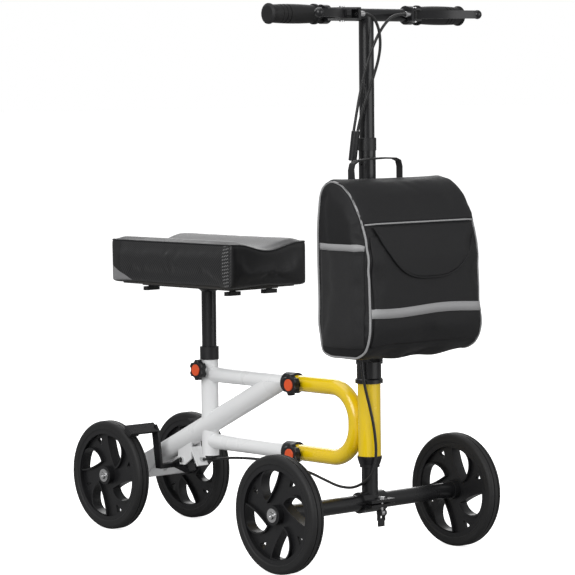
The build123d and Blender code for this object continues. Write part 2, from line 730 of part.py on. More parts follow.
# ================================================================ column
foot_bottom = fold_pin_z + foot_rise
column_bore = stem_outer + 2 * sliding_clearance
tongue_half = ear_inner - body_gap
with BuildPart() as column_tube:
    add(rod((head_x, 0, foot_bottom), (head_x, 0, foot_bottom + column_foot_height), column_foot_outer))
    add(rod((head_x, 0, foot_bottom), (head_x, 0, column_top), column_outer))
    with BuildSketch(facing_y(0, -tongue_half, 0, -1)):
        with Locations((head_x, fold_pin_z)):
            Circle(fold_ear_radius - 0.5)
        with Locations((head_x, (fold_pin_z + foot_bottom) / 2)):
            Rectangle(2 * fold_ear_radius - 1, foot_rise)
        with Locations((head_x, fold_pin_z)):
            Circle(fold_pin_diameter / 2 + running_clearance, mode=Mode.SUBTRACT)
    extrude(amount=-2 * tongue_half)
    add(rod((head_x, 0, foot_bottom + 8), (head_x, 0, column_top + 1), column_bore), mode=Mode.SUBTRACT)
    add(rod((head_x, -column_outer / 2 - 3, pull_pin_z), (head_x, -column_outer / 2 + 1, pull_pin_z), 6))
save(column_tube, "column_tube")

with BuildPart() as column_collar:
    add(rod((head_x, 0, column_top), (head_x, 0, column_top + column_collar_height), column_collar_outer,
            stem_outer + 2 * running_clearance))
    chamfer(column_collar.edges().group_by(Axis.Z)[-1], length=0.8)
save(column_collar, "column_collar")


# ================================================================ handlebar
bar_half = handlebar_width / 2 - grip_end_wall
with BuildPart() as handlebar:
    add(rod((head_x, 0, stem_bottom), (head_x, 0, handlebar_height), stem_outer))
    add(rod((head_x, -bar_half, handlebar_height), (head_x, bar_half, handlebar_height), bar_outer))
    add(rod((head_x, 0, stem_bottom - 1), (head_x, 0, handlebar_height - bar_outer / 2),
            stem_outer - 2 * stem_wall), mode=Mode.SUBTRACT)
    add(rod((head_x, -bar_half - 1, handlebar_height), (head_x, bar_half + 1, handlebar_height),
            bar_outer - 2 * bar_wall), mode=Mode.SUBTRACT)
save(handlebar, "handlebar")

with BuildPart() as grips:
    for side in (1, -1):
        outer_end = side * handlebar_width / 2
        swell, waist, flange = grip_outer / 2, grip_outer / 2 - 1.5, grip_outer / 2 + 1
        profile = Plane(origin=(head_x, outer_end, handlebar_height), x_dir=(0, -side, 0), z_dir=(1, 0, 0))
        with BuildSketch(profile):
            with BuildLine():
                Polyline((5.5, waist), (5, flange), (2.5, flange), (0, flange - 4), (0, 0), (grip_length, 0),
                         (grip_length, flange), (grip_length - 4, flange), (grip_length - 4.5, waist))
                Spline((grip_length - 4.5, waist), (grip_length * 0.45, swell), (5.5, waist))
            make_face()
        revolve(axis=Axis((head_x, 0, handlebar_height), (0, 1, 0)))
        for place in (0.22, 0.30, 0.38):
            groove = outer_end - side * grip_length * place
            add(rod((head_x, groove, handlebar_height), (head_x, groove - side * 2, handlebar_height),
                    grip_outer + 2, grip_outer - 2), mode=Mode.SUBTRACT)
    add(rod((head_x, -bar_half, handlebar_height), (head_x, bar_half, handlebar_height), bar_outer),
        mode=Mode.SUBTRACT)
save(grips, "grips")

blade_half = lever_height / 2
slot_z = blade_half + body_gap
housing_half = slot_z + 3.6
lever_pin = 5.0
barrel_length = 11.0
with BuildPart() as lever_brackets:
    for side in (1, -1):
        ring_in, ring_out = lever_clamp_y - lever_clamp_width / 2, lever_clamp_y + lever_clamp_width / 2
        with BuildSketch(upright(handlebar_height - housing_half)):
            with BuildLine():
                Polyline((head_x + 6, side * ring_out), (head_x + 6, side * ring_in), (head_x + 24, side * 76),
                         (head_x + 39, side * 60), (head_x + 51, side * 60), (head_x + 51, side * 70),
                         (head_x + 40, side * 95), (head_x + 18, side * ring_out), close=True)
            make_face()
        extrude(amount=2 * housing_half)
        with BuildSketch(upright(handlebar_height - slot_z)):
            with BuildLine():
                Polyline((head_x + 21, side * 66), (head_x + 90, side * 66), (head_x + 90, side * 120),
                         (head_x + 18, side * 120), (head_x + 18, side * 92), close=True)
            make_face()
        extrude(amount=2 * slot_z, mode=Mode.SUBTRACT)
        add(rod((head_x, side * ring_in, handlebar_height), (head_x, side * ring_out, handlebar_height),
                lever_clamp_outer))
        add(rod((head_x, side * (ring_in - 40), handlebar_height), (head_x, side * (ring_out + 1),
                handlebar_height), bar_outer), mode=Mode.SUBTRACT)
        add(rod((head_x + lever_pivot_reach, side * lever_pivot_y, handlebar_height - 30),
                (head_x + lever_pivot_reach, side * lever_pivot_y, handlebar_height + 30), lever_pin),
            mode=Mode.SUBTRACT)
        add(rod((head_x + barrel_reach, side * 50, handlebar_height),
                (head_x + barrel_reach, side * 67, handlebar_height), 7), mode=Mode.SUBTRACT)
save(lever_brackets, "lever_brackets")

with BuildPart() as lever_hardware:
    for side in (1, -1):
        px, py = head_x + lever_pivot_reach, side * lever_pivot_y
        add(rod((px, py, handlebar_height - housing_half - 2), (px, py, handlebar_height + housing_half + 2),
                lever_pin))
        for end in (1, -1):
            outer_z = handlebar_height + end * housing_half
            add(rod((px, py, outer_z), (px, py, outer_z + end * 2.2), 9))
        barrel_out = 60.0 - barrel_length
        add(rod((head_x + barrel_reach, side * 66, handlebar_height),
                (head_x + barrel_reach, side * 60, handlebar_height), 7, 3))
        add(rod((head_x + barrel_reach, side * 60, handlebar_height),
                (head_x + barrel_reach, side * barrel_out, handlebar_height), 9.5, 3))
save(lever_hardware, "lever_hardware")


def make_lever(name, side):
    """Brake lever blade with a ball end, turning on an upright pin."""
    with BuildPart() as lever:
        with BuildSketch(upright(handlebar_height - blade_half)):
            with BuildLine():
                Spline((head_x + 24, side * 92), (head_x + 45, side * 112), (head_x + 66, side * 140),
                       (head_x + lever_tip_reach - 4, side * lever_tip_y))
                Line((head_x + lever_tip_reach - 4, side * lever_tip_y),
                     (head_x + lever_tip_reach + 4, side * (lever_tip_y - 2)))
                Spline((head_x + lever_tip_reach + 4, side * (lever_tip_y - 2)), (head_x + 77, side * 140),
                       (head_x + 59, side * 108), (head_x + 38, side * 82))
                Line((head_x + 38, side * 82), (head_x + 24, side * 92))
            make_face()
        extrude(amount=lever_height)
        add(rod((head_x + lever_pivot_reach, side * lever_pivot_y, handlebar_height - blade_half),
                (head_x + lever_pivot_reach, side * lever_pivot_y, handlebar_height + blade_half), 17))
        with Locations((head_x + lever_tip_reach, side * lever_tip_y, handlebar_height)):
            Sphere(8)
        add(rod((head_x + lever_pivot_reach, side * lever_pivot_y, handlebar_height - 20),
                (head_x + lever_pivot_reach, side * lever_pivot_y, handlebar_height + 20),
                lever_pin + 2 * running_clearance), mode=Mode.SUBTRACT)
    save(lever, name)


make_lever("brake_lever_right", -1)
make_lever("brake_lever_left", 1)


# ================================================================ rear brake
shoe_cos, shoe_sin = math.cos(math.radians(brake_shoe_angle)), math.sin(math.radians(brake_shoe_angle))
pad_face = wheel_radius + brake_pad_gap
shoe_face = pad_face + brake_pad_thickness
shoe_thickness = 4.0
shoe_length = brake_pad_length + 4
arm_top = Vector(rear_axle_x + (shoe_face + 2) * shoe_cos, 0, axle_z + (shoe_face + 2) * shoe_sin)
link_half = plate_inner - body_gap


def over_tyre(y, radius):
    """A workplane square to the tyre's radius at the brake shoe, facing away from the axle."""
    origin = (rear_axle_x + radius * shoe_cos, y, axle_z + radius * shoe_sin)
    return Plane(origin=origin, x_dir=(0, 1, 0), z_dir=(shoe_cos, 0, shoe_sin))


with BuildPart() as brake_arms:
    with BuildSketch(Plane.XZ.offset(-brake_arm_y - brake_arm_thickness)):
        with Locations((brake_bar_x, brake_bar_z)):
            Rectangle(brake_bar_depth, brake_bar_height)
    extrude(amount=2 * (brake_arm_y + brake_arm_thickness))
    with BuildSketch(Plane.XZ.offset(-link_half)):
        with BuildLine():
            Polyline((brake_bar_x - 6, brake_bar_z - 4), (brake_bar_x - 6, brake_bar_z + 4),
                     (brake_pivot_x - 2, brake_pivot_z + 8), (brake_pivot_x + 8, brake_pivot_z + 2),
                     (brake_anchor_x + 5, brake_anchor_z - 1), (brake_anchor_x - 5, brake_anchor_z - 6),
                     close=True)
        make_face()
        with Locations((brake_pivot_x, brake_pivot_z)):
            Circle(8.5)
            Circle(brake_pivot_bolt / 2 + running_clearance, mode=Mode.SUBTRACT)
    extrude(amount=2 * link_half)
    for side in (1, -1):
        with BuildSketch(facing_y(0, side * brake_arm_y, 0, -1)):
            with BuildLine():
                Polyline((brake_bar_x - 8, brake_bar_z - 4), (brake_bar_x + 7, brake_bar_z - 4),
                         (brake_bar_x + 7, brake_bar_z + 8), (arm_top.X + 9, arm_top.Z - 4),
                         (arm_top.X + 2, arm_top.Z + 6), (arm_top.X - 9, arm_top.Z - 2), close=True)
            make_face()
        extrude(amount=-side * brake_arm_thickness)
        reach = rear_track / 2 + tyre_width / 2 - 2
        with BuildSketch(over_tyre(0, shoe_face)):
            with Locations((side * (brake_arm_y + reach) / 2, 0)):
                Rectangle(reach - brake_arm_y, shoe_length)
        extrude(amount=shoe_thickness)
save(brake_arms, "brake_arms")

with BuildPart() as brake_pads:
    for side in (1, -1):
        with BuildSketch(over_tyre(0, pad_face)):
            with Locations((side * rear_track / 2, 0)):
                RectangleRounded(brake_pad_width - 1, brake_pad_length, 2)
        extrude(amount=brake_pad_thickness)
save(brake_pads, "brake_pads")


# ================================================================ seat post and knee pad
pad_x = seat_x + pad_offset
cushion_x = pad_x - pad_setback
board_bottom = pad_bottom - 4
plate_bottom = board_bottom - plate_thickness
stud = 6.0
knob_places = {
    "front_right": (pad_x + pad_knob_x, -pad_knob_y),
    "front_left": (pad_x + pad_knob_x, pad_knob_y),
    "rear_right": (pad_x - pad_knob_x, -pad_knob_y),
    "rear_left": (pad_x - pad_knob_x, pad_knob_y),
}

with BuildPart() as seat_post:
    add(rod((seat_x, 0, post_bottom), (seat_x, 0, plate_bottom), seat_post_outer))
    add(rod((seat_x, 0, post_bottom - 1), (seat_x, 0, plate_bottom - 12), seat_post_outer - 4),
        mode=Mode.SUBTRACT)
    with BuildSketch(upright(plate_bottom)):
        with Locations((pad_x, 0)):
            RectangleRounded(plate_length, plate_width, 12)
            with Locations((65, 0), (-65, 0)):
                SlotOverall(70, 34, mode=Mode.SUBTRACT)
        for place in knob_places.values():
            with Locations(place):
                Circle(stud / 2 + running_clearance, mode=Mode.SUBTRACT)
    extrude(amount=plate_thickness)
    with BuildSketch(upright(plate_bottom - 9)):
        with Locations((seat_x, 0)):
            Circle(seat_post_outer / 2 + 0.5)
    with BuildSketch(upright(plate_bottom)):
        with Locations((seat_x, 0)):
            Circle(24)
    loft()
save(seat_post, "seat_post")

with BuildPart() as pad_board:
    with BuildSketch(upright(board_bottom)):
        with Locations((cushion_x, 0)):
            RectangleRounded(pad_length - 2 * pad_skirt - 20, pad_width - 2 * pad_skirt - 14, 18)
        for place in knob_places.values():
            with Locations(place):
                Circle(stud / 2 + running_clearance, mode=Mode.SUBTRACT)
    extrude(amount=board_thickness)
save(pad_board, "pad_board")

half_length, half_width = pad_length / 2, pad_width / 2
with BuildPart() as knee_pad:
    with BuildSketch(Plane.YZ.offset(cushion_x - half_length)):
        with BuildLine():
            Polyline((-half_width, pad_ridge_top - 16), (-half_width, pad_bottom + 5), (5 - half_width, pad_bottom),
                     (half_width - 5, pad_bottom), (half_width, pad_bottom + 5), (half_width, pad_ridge_top - 16))
            Spline((half_width, pad_ridge_top - 16), (half_width - 14, pad_ridge_top - 1),
                   (half_width * 0.55, pad_ridge_top - 4), (0, pad_dip_top), (-half_width * 0.55, pad_ridge_top - 4),
                   (14 - half_width, pad_ridge_top - 1), (-half_width, pad_ridge_top - 16))
        make_face()
    extrude(amount=pad_length)
    with BuildSketch(upright(pad_bottom - 1)):
        with Locations((cushion_x, 0)):
            RectangleRounded(pad_length, pad_width, 14)
    extrude(amount=pad_ridge_top - pad_bottom + 10, mode=Mode.INTERSECT)
    with BuildSketch(upright(pad_bottom - 1)):
        with Locations((cushion_x, 0)):
            RectangleRounded(pad_length - 2 * pad_skirt - 20, pad_width - 2 * pad_skirt - 14, 18)
    extrude(amount=board_thickness - 4 + 1, mode=Mode.SUBTRACT)
save(knee_pad, "knee_pad")

for place, (kx, ky) in knob_places.items():
    with BuildPart() as pad_knob:
        knob_top = plate_bottom - body_gap
        with BuildSketch(upright(knob_top - pad_knob_height)):
            with Locations((kx, ky)):
                RectangleRounded(pad_knob_width, pad_knob_length, pad_knob_width / 2 - 0.5)
        extrude(amount=pad_knob_height - 2)
        add(rod((kx, ky, knob_top - 3), (kx, ky, knob_top), 12))
        add(rod((kx, ky, knob_top - 3), (kx, ky, board_bottom + board_thickness - 2), stud))
    save(pad_knob, f"pad_knob_{place}")


# ================================================================ star knobs
def make_star_knob(name, x, z, surface, tip, face):
    """Six-lobed clamp knob on the scooter's right with its stud, and a separate coloured cap."""
    cap_back = face + star_cap_height
    body_back = cap_back + star_thickness - 3
    with BuildPart() as knob:
        with BuildSketch(facing_y(x, body_back, z, -1)) as star:
            Circle(star_outer / 2)
            with PolarLocations(star_outer / 2 + 3.5, star_lobes):
                Circle(7, mode=Mode.SUBTRACT)
            fillet(star.vertices(), radius=1.6)
        extrude(amount=body_back - cap_back)
        chamfer(knob.edges().group_by(Axis.Y)[0], length=1.2)
        add(rod((x, body_back, z), (x, surface - body_gap, z), star_boss_diameter))
        add(rod((x, body_back - 2, z), (x, tip, z), star_stud_diameter))
    save(knob, f"star_knob_{name}")
    with BuildPart() as cap:
        add(rod((x, cap_back, z), (x, face, z), star_cap_diameter))
        chamfer(cap.edges().group_by(Axis.Y)[0], length=0.6)
    save(cap, f"star_knob_cap_{name}")


seat_boss_face = -seat_tube_outer / 2 - boss_length
arm_face = -arm_outer / 2 - 0.3
make_star_knob("seat", seat_x, seat_knob_z, seat_boss_face, -seat_post_outer / 2 - 0.8, seat_boss_face - 15.5)
make_star_knob("upper", frame_knob_x, upper_tube_z, arm_face, -8.0, arm_face - 22.45)
make_star_knob("lower", frame_knob_x, lower_tube_z, arm_face, -8.0, arm_face - 22.45)


# ================================================================ bag
def bag_outline(inset=0.0):
    """Side profile of the bag, X forward and Z up: upright back and front, rounded top front and bottom."""
    back, front = bag_back + inset, bag_front - inset
    top, bottom = bag_top - inset, bag_bottom + inset
    bottom_round, back_round = 40.0 - inset, 8.0 - inset
    Polyline((back, bottom + back_round), (back, top - 4), (back + 26, top))
    ThreePointArc((back + 26, top), (back + 86 - inset, top - 57), (front, top - 132 + inset))
    Line((front, top - 132 + inset), (front, bottom + bottom_round))
    RadiusArc((front, bottom + bottom_round), (front - bottom_round, bottom), bottom_round)
    Line((front - bottom_round, bottom), (back + back_round, bottom))
    RadiusArc((back + back_round, bottom), (back, bottom + back_round), back_round)


with BuildPart() as bag_body:
    with BuildSketch(Plane.XZ.offset(-bag_width / 2)):
        with BuildLine():
            bag_outline()
        make_face()
    extrude(amount=bag_width)
    with BuildSketch(Plane.XZ.offset(bag_wall - bag_width / 2)):
        with BuildLine():
            bag_outline(bag_wall)
        make_face()
    extrude(amount=bag_width - 2 * bag_wall, mode=Mode.SUBTRACT)
save(bag_body, "bag_body")

strap_inner = column_outer / 2
strap_outer = bag_back - head_x
ring_outer_radius = strap_inner + strap_thickness
with BuildPart() as bag_webbing:
    for strap_z in (bag_bottom + 70, bag_top - 60):
        with BuildSketch(upright(strap_z)):
            with Locations((head_x, 0)):
                Circle(ring_outer_radius)
            with Locations((head_x + strap_outer / 2, 0)):
                Rectangle(strap_outer, 2 * ring_outer_radius)
            with Locations((head_x, 0)):
                Circle(strap_inner, mode=Mode.SUBTRACT)
            with Locations((head_x + strap_outer / 2 + 0.5, 0)):
                Rectangle(strap_outer + 2, 2 * strap_inner, mode=Mode.SUBTRACT)
        extrude(amount=strap_height)
    with BuildSketch(Plane.YZ.offset(bag_back + 4)):
        with BuildLine():
            Spline((-62, bag_top - 3), (-52, bag_top + 16), (0, bag_top + 25), (52, bag_top + 16), (62, bag_top - 3))
            Line((62, bag_top - 3), (59.5, bag_top - 3))
            Spline((59.5, bag_top - 3), (50.5, bag_top + 14), (0, bag_top + 22.6), (-50.5, bag_top + 14),
                   (-59.5, bag_top - 3))
            Line((-59.5, bag_top - 3), (-62, bag_top - 3))
        make_face()
    extrude(amount=20)
    add(bag_body.part, mode=Mode.SUBTRACT)
    with BuildSketch(Plane.XZ.offset(-bag_width / 2 + bag_wall)):
        with BuildLine():
            bag_outline(bag_wall)
        make_face()
    extrude(amount=bag_width - 2 * bag_wall, mode=Mode.SUBTRACT)
save(bag_webbing, "bag_webbing")


# ================================================================ cables
def make_cable(name, points):
    """Round cable through a chain of corners (reach from the head axis, y, z), each rounded by an arc."""
    corners = [Vector(head_x + reach, y, z) for reach, y, z in points]
    radii = []
    for before, corner, after in zip(corners, corners[1:], corners[2:]):
        run_in, run_out = corner - before, after - corner
        turn = math.radians(run_in.get_angle(run_out))
        radii.append(0.45 * min(run_in.length, run_out.length) / math.tan(turn / 2))
    with BuildPart() as cable:
        with BuildLine() as path:
            FilletPolyline(*corners, radius=radii)
        with BuildSketch(Plane(origin=path.line @ 0, z_dir=path.line % 0)):
            Circle(cable_diameter / 2)
        sweep(path=path.line)
    length = sum(edge.length for edge in path.edges())
    share = cable.part.volume / (math.pi * cable_diameter**2 / 4 * length)
    print(f"{name}: radii {[round(radius, 2) for radius in radii]}")
    print(f"{name}: length {length:.1f}, volume {share:.4f} of section times length")
    save(cable, name)


joiner_top = (3.2, -29.8, 746.0)
joiner_bottom = (-3.2, -32.0, 695.0)
cable_right_end = (4.6, -26.6, 746.0)
cable_left_end = (1.6, -33.0, 746.6)
cable_column_start = (-3.3, -32.0, 694.5)
cable_split = (12.0, -28.5, 345.0)  # where the column's cable becomes the frame's
cable_stop_end = (cable_stop_x + 8 - head_x, 0, cable_stop_z + 0.8)

make_cable("cable_right", [
    (45, barrel_length - 60, handlebar_height), (45, -30, handlebar_height), (44.3, -12.5, 923), (42.5, -6.5, 893),
    (36.7, -7.1, 866), (29.5, -10, 843), (20.7, -15.8, 811), (10, -23.2, 776), cable_right_end])
make_cable("cable_left", [
    (45, 60 - barrel_length, handlebar_height), (45, 30, handlebar_height), (41.5, 14, 937), (35.3, 0, 918),
    (28.2, -10.6, 892), (19.9, -18.3, 860), (12.6, -23.4, 826), (6.5, -28.6, 786), cable_left_end])
make_cable("brake_cable_column", [
    cable_column_start, (-1, -29.5, 640), (3, -28.6, 580), (0, -29.6, 520), (4, -28.6, 460), (6, -29.4, 405), cable_split])
make_cable("brake_cable_rear", [
    cable_split, (15, -28.05, 315), (20, -17, 268), (24.5, -10, 224), (27, -9.5, 182), (21.5, -15, 148),
    (-12, -23.5, 126), (-50, -24.5, 124.5), (-88, -20, 131), (-146, -14, 142.5), (-205, -17, 149),
    (-262, -18, 153), (-318, -15, 150.5), (-372, -8, 145), (-415, 0, 137.8), cable_stop_end])

with BuildPart() as cable_joiner:
    top = Vector(head_x + joiner_top[0], joiner_top[1], joiner_top[2])
    bottom = Vector(head_x + joiner_bottom[0], joiner_bottom[1], joiner_bottom[2])
    add(rod(top, bottom, 14.5))
    chamfer(cable_joiner.edges(), length=0.8)
save(cable_joiner, "cable_joiner")
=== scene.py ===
import json
import math

import bmesh
import bpy
from mathutils import Matrix, Vector, noise
from mathutils.bvhtree import BVHTree


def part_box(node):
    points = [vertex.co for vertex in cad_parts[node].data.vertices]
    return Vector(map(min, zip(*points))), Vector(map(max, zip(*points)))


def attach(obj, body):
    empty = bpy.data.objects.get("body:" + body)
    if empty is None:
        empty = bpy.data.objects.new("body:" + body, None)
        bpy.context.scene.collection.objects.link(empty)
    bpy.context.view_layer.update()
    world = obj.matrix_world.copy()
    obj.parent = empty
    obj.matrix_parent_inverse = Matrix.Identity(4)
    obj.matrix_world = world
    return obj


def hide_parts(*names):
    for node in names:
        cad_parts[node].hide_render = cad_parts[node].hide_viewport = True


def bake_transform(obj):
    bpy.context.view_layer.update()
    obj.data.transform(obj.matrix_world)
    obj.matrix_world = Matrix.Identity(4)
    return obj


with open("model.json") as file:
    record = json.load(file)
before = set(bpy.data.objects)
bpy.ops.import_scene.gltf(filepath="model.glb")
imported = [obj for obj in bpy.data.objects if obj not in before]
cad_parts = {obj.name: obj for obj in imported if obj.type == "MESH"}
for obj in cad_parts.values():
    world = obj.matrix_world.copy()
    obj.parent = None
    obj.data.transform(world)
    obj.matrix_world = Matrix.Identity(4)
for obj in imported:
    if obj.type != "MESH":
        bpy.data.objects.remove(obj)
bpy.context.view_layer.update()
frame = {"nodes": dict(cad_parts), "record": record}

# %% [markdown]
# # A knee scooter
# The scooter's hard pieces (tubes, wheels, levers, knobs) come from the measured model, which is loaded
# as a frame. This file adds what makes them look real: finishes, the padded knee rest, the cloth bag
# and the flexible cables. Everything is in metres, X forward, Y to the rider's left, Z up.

MM = 0.001
nodes = frame["nodes"]

# %% [markdown]
# ## Camera
# The scooter is seen from its front right, a little above the wheels, from several metres away with a
# long lens, so its upright lines stay nearly parallel. A look direction, an up direction and a small
# roll give the camera's matrix directly, which is easier to reason about than three Euler angles.

# %% Camera
CAMERA_PLACE = Vector((3.8226, -3.377, 0.821))
HEADING, PITCH, ROLL = math.radians(48.02), math.radians(4.03), math.radians(-0.58)
LENS = 177.4  # focal length in millimetres
forward = Vector((-math.sin(HEADING) * math.cos(PITCH),
                  math.cos(HEADING) * math.cos(PITCH), -math.sin(PITCH)))
level_right = Vector((math.cos(HEADING), math.sin(HEADING), 0))
level_up = level_right.cross(forward)
right = level_right * math.cos(ROLL) + level_up * math.sin(ROLL)
up = level_up * math.cos(ROLL) - level_right * math.sin(ROLL)
camera_data = bpy.data.cameras.new("camera")
camera_data.lens = LENS
camera = bpy.data.objects.new("camera", camera_data)
bpy.context.collection.objects.link(camera)
camera.matrix_world = Matrix((right, up, -forward)).transposed().to_4x4()
camera.matrix_world.translation = CAMERA_PLACE
bpy.context.scene.camera = camera
print("camera at", tuple(CAMERA_PLACE), "lens", camera_data.lens)

# %% [markdown]
# ## Floor and light
# A product is usually lit by big soft boxes so that black plastic and glossy paint both read well: a
# strong key on the scooter's right, a weaker fill in front, one behind for bright edges and one above.
# The floor and the sky look white to the camera but light the scooter less, or black plastic would
# turn grey.


# %% Floor, sky and soft boxes
def add_soft_box(name, place, target, size, power):
    """A square area light that faces target."""
    light = bpy.data.lights.new(name, "AREA")
    light.size = size
    light.energy = power
    holder = bpy.data.objects.new(name, light)
    bpy.context.collection.objects.link(holder)
    holder.location = place
    holder.rotation_euler = (Vector(target) - Vector(place)).to_track_quat("-Z", "Y").to_euler()


def seen_or_not(tree, unseen, seen):
    """A value that is seen for rays straight from the camera and unseen for all the others."""
    rays = tree.nodes.new("ShaderNodeLightPath")
    choice = tree.nodes.new("ShaderNodeMapRange")
    choice.inputs["To Min"].default_value = unseen
    choice.inputs["To Max"].default_value = seen
    tree.links.new(rays.outputs["Is Camera Ray"], choice.inputs["Value"])
    return choice.outputs["Result"]


WHITE = (1, 1, 1, 1)
FLOOR_HALF_WIDTH = 80
FLOOR_GLOW = 0.78  # emission that only the camera sees
FLOOR_TONES = (0.35, 0.85)  # base colour for bounced light, and for the camera
SKY_STRENGTHS = (0.45, 1.0)  # light on the scooter, and brightness to the camera
LIGHT_TARGET = (0, 0, 0.45)  # the middle of the scooter
SOFT_BOXES = (  # name, place, size in metres, power in watts
    ("key", (1.6, -3.9, 2.3), 2.8, 125),
    ("fill", (3.8, 0.9, 1.2), 2.8, 52),
    ("rim", (-3.0, 2.2, 2.4), 2.8, 52),
    ("overhead", (-0.4, -0.4, 3.4), 3.0, 34),
)

floor_mesh = bpy.data.meshes.new("floor")
floor_shape = bmesh.new()
bmesh.ops.create_grid(floor_shape, x_segments=1, y_segments=1, size=FLOOR_HALF_WIDTH)
floor_shape.to_mesh(floor_mesh)
floor_shape.free()
floor = bpy.data.objects.new("floor", floor_mesh)
bpy.context.collection.objects.link(floor)
floor_paint = bpy.data.materials.new("floor_paint")
floor_paint.use_nodes = True
floor_tree = floor_paint.node_tree
floor_bsdf = floor_tree.nodes["Principled BSDF"]
floor_bsdf.inputs["Roughness"].default_value = 0.9
floor_bsdf.inputs["Emission Color"].default_value = WHITE
floor_tree.links.new(seen_or_not(floor_tree, 0.0, FLOOR_GLOW), floor_bsdf.inputs["Emission Strength"])
floor_tree.links.new(seen_or_not(floor_tree, *FLOOR_TONES), floor_bsdf.inputs["Base Color"])
floor_mesh.materials.append(floor_paint)

world = bpy.data.worlds.new("studio")
world.use_nodes = True
background = world.node_tree.nodes["Background"]
background.inputs["Color"].default_value = WHITE
world.node_tree.links.new(seen_or_not(world.node_tree, *SKY_STRENGTHS), background.inputs["Strength"])
bpy.context.scene.world = world
bpy.context.scene.view_settings.view_transform = "Standard"
for name, spot, size, power in SOFT_BOXES:
    add_soft_box(name, spot, LIGHT_TARGET, size, power)

# %% [markdown]
# ## Shared surface effects
# No real surface is perfectly even. Moulded plastic has a fine pebble, powder coat a slight orange peel,
# cloth a weave. Each effect is a node group that gives a height for a Bump node and a mask that varies
# the roughness or the colour, so that every finish below can use it with its own scale.


# %% Node group helpers
def new_group(name, inputs, outputs):
    """An empty shader node group; inputs is {name: default}, outputs is a list of float names."""
    group = bpy.data.node_groups.new(name, "ShaderNodeTree")
    for label, default in inputs.items():
        socket = group.interface.new_socket(label, in_out="INPUT", socket_type="NodeSocketFloat")
        socket.default_value = default
    for label in outputs:
        group.interface.new_socket(label, in_out="OUTPUT", socket_type="NodeSocketFloat")
    start = group.nodes.new("NodeGroupInput")
    end = group.nodes.new("NodeGroupOutput")
    return group, start, end


def math_node(tree, operation, first, second=None):
    """A Math node fed by sockets or plain numbers; returns its output socket."""
    node = tree.nodes.new("ShaderNodeMath")
    node.operation = operation
    for index, value in enumerate((first, second)):
        if value is None:
            continue
        if isinstance(value, (int, float)):
            node.inputs[index].default_value = value
        else:
            tree.links.new(value, node.inputs[index])
    return node.outputs[0]


def object_axes(tree):
    """The X, Y and Z sockets of the Object coordinates."""
    place = tree.nodes.new("ShaderNodeTexCoord")
    split = tree.nodes.new("ShaderNodeSeparateXYZ")
    tree.links.new(place.outputs["Object"], split.inputs[0])
    return split.outputs["X"], split.outputs["Y"], split.outputs["Z"]


# %% Fine grain and slow blotches
grain_group, grain_in, grain_out = new_group(
    "surface grain", {"Scale": 900.0, "Blotch Scale": 14.0}, ["Height", "Blotch"])
place = grain_group.nodes.new("ShaderNodeTexCoord")
pebble = grain_group.nodes.new("ShaderNodeTexNoise")
pebble.inputs["Detail"].default_value = 3
blotch = grain_group.nodes.new("ShaderNodeTexNoise")
blotch.inputs["Detail"].default_value = 4
grain_group.links.new(place.outputs["Object"], pebble.inputs["Vector"])
grain_group.links.new(place.outputs["Object"], blotch.inputs["Vector"])
grain_group.links.new(grain_in.outputs["Scale"], pebble.inputs["Scale"])
grain_group.links.new(grain_in.outputs["Blotch Scale"], blotch.inputs["Scale"])
grain_group.links.new(pebble.outputs["Fac"], grain_out.inputs["Height"])
grain_group.links.new(blotch.outputs["Fac"], grain_out.inputs["Blotch"])
print("group", grain_group.name)

# %% Woven threads: two crossed sets of sine ridges, in the plane across the scooter's main faces
weave_group, weave_in, weave_out = new_group(
    "woven threads", {"Threads Per Metre": 1100.0}, ["Height", "Shade"])
axis_x, axis_y, axis_z = object_axes(weave_group)
turns = math_node(weave_group, "MULTIPLY", weave_in.outputs[0], 2 * math.pi)
across = math_node(weave_group, "SINE", math_node(weave_group, "MULTIPLY",
                   math_node(weave_group, "ADD", axis_x, axis_y), turns))
upright = math_node(weave_group, "SINE", math_node(weave_group, "MULTIPLY", axis_z, turns))
crossed = math_node(weave_group, "MULTIPLY", across, upright)
height = math_node(weave_group, "MULTIPLY_ADD", crossed, 0.5)
height.node.inputs[2].default_value = 0.5
weave_group.links.new(height, weave_out.inputs["Height"])
weave_group.links.new(height, weave_out.inputs["Shade"])
print("group", weave_group.name)

# %% [markdown]
# ## Finishes for the hard pieces
# The rear frame is white powder coat and the front frame yellow; the column, axle and levers are satin
# black, the knobs and wheels moulded plastic, the bolts bright steel. One function builds a finish: a
# base colour that drifts a little between two tones, a roughness that follows the same blotches, and a
# small bump for the grain.


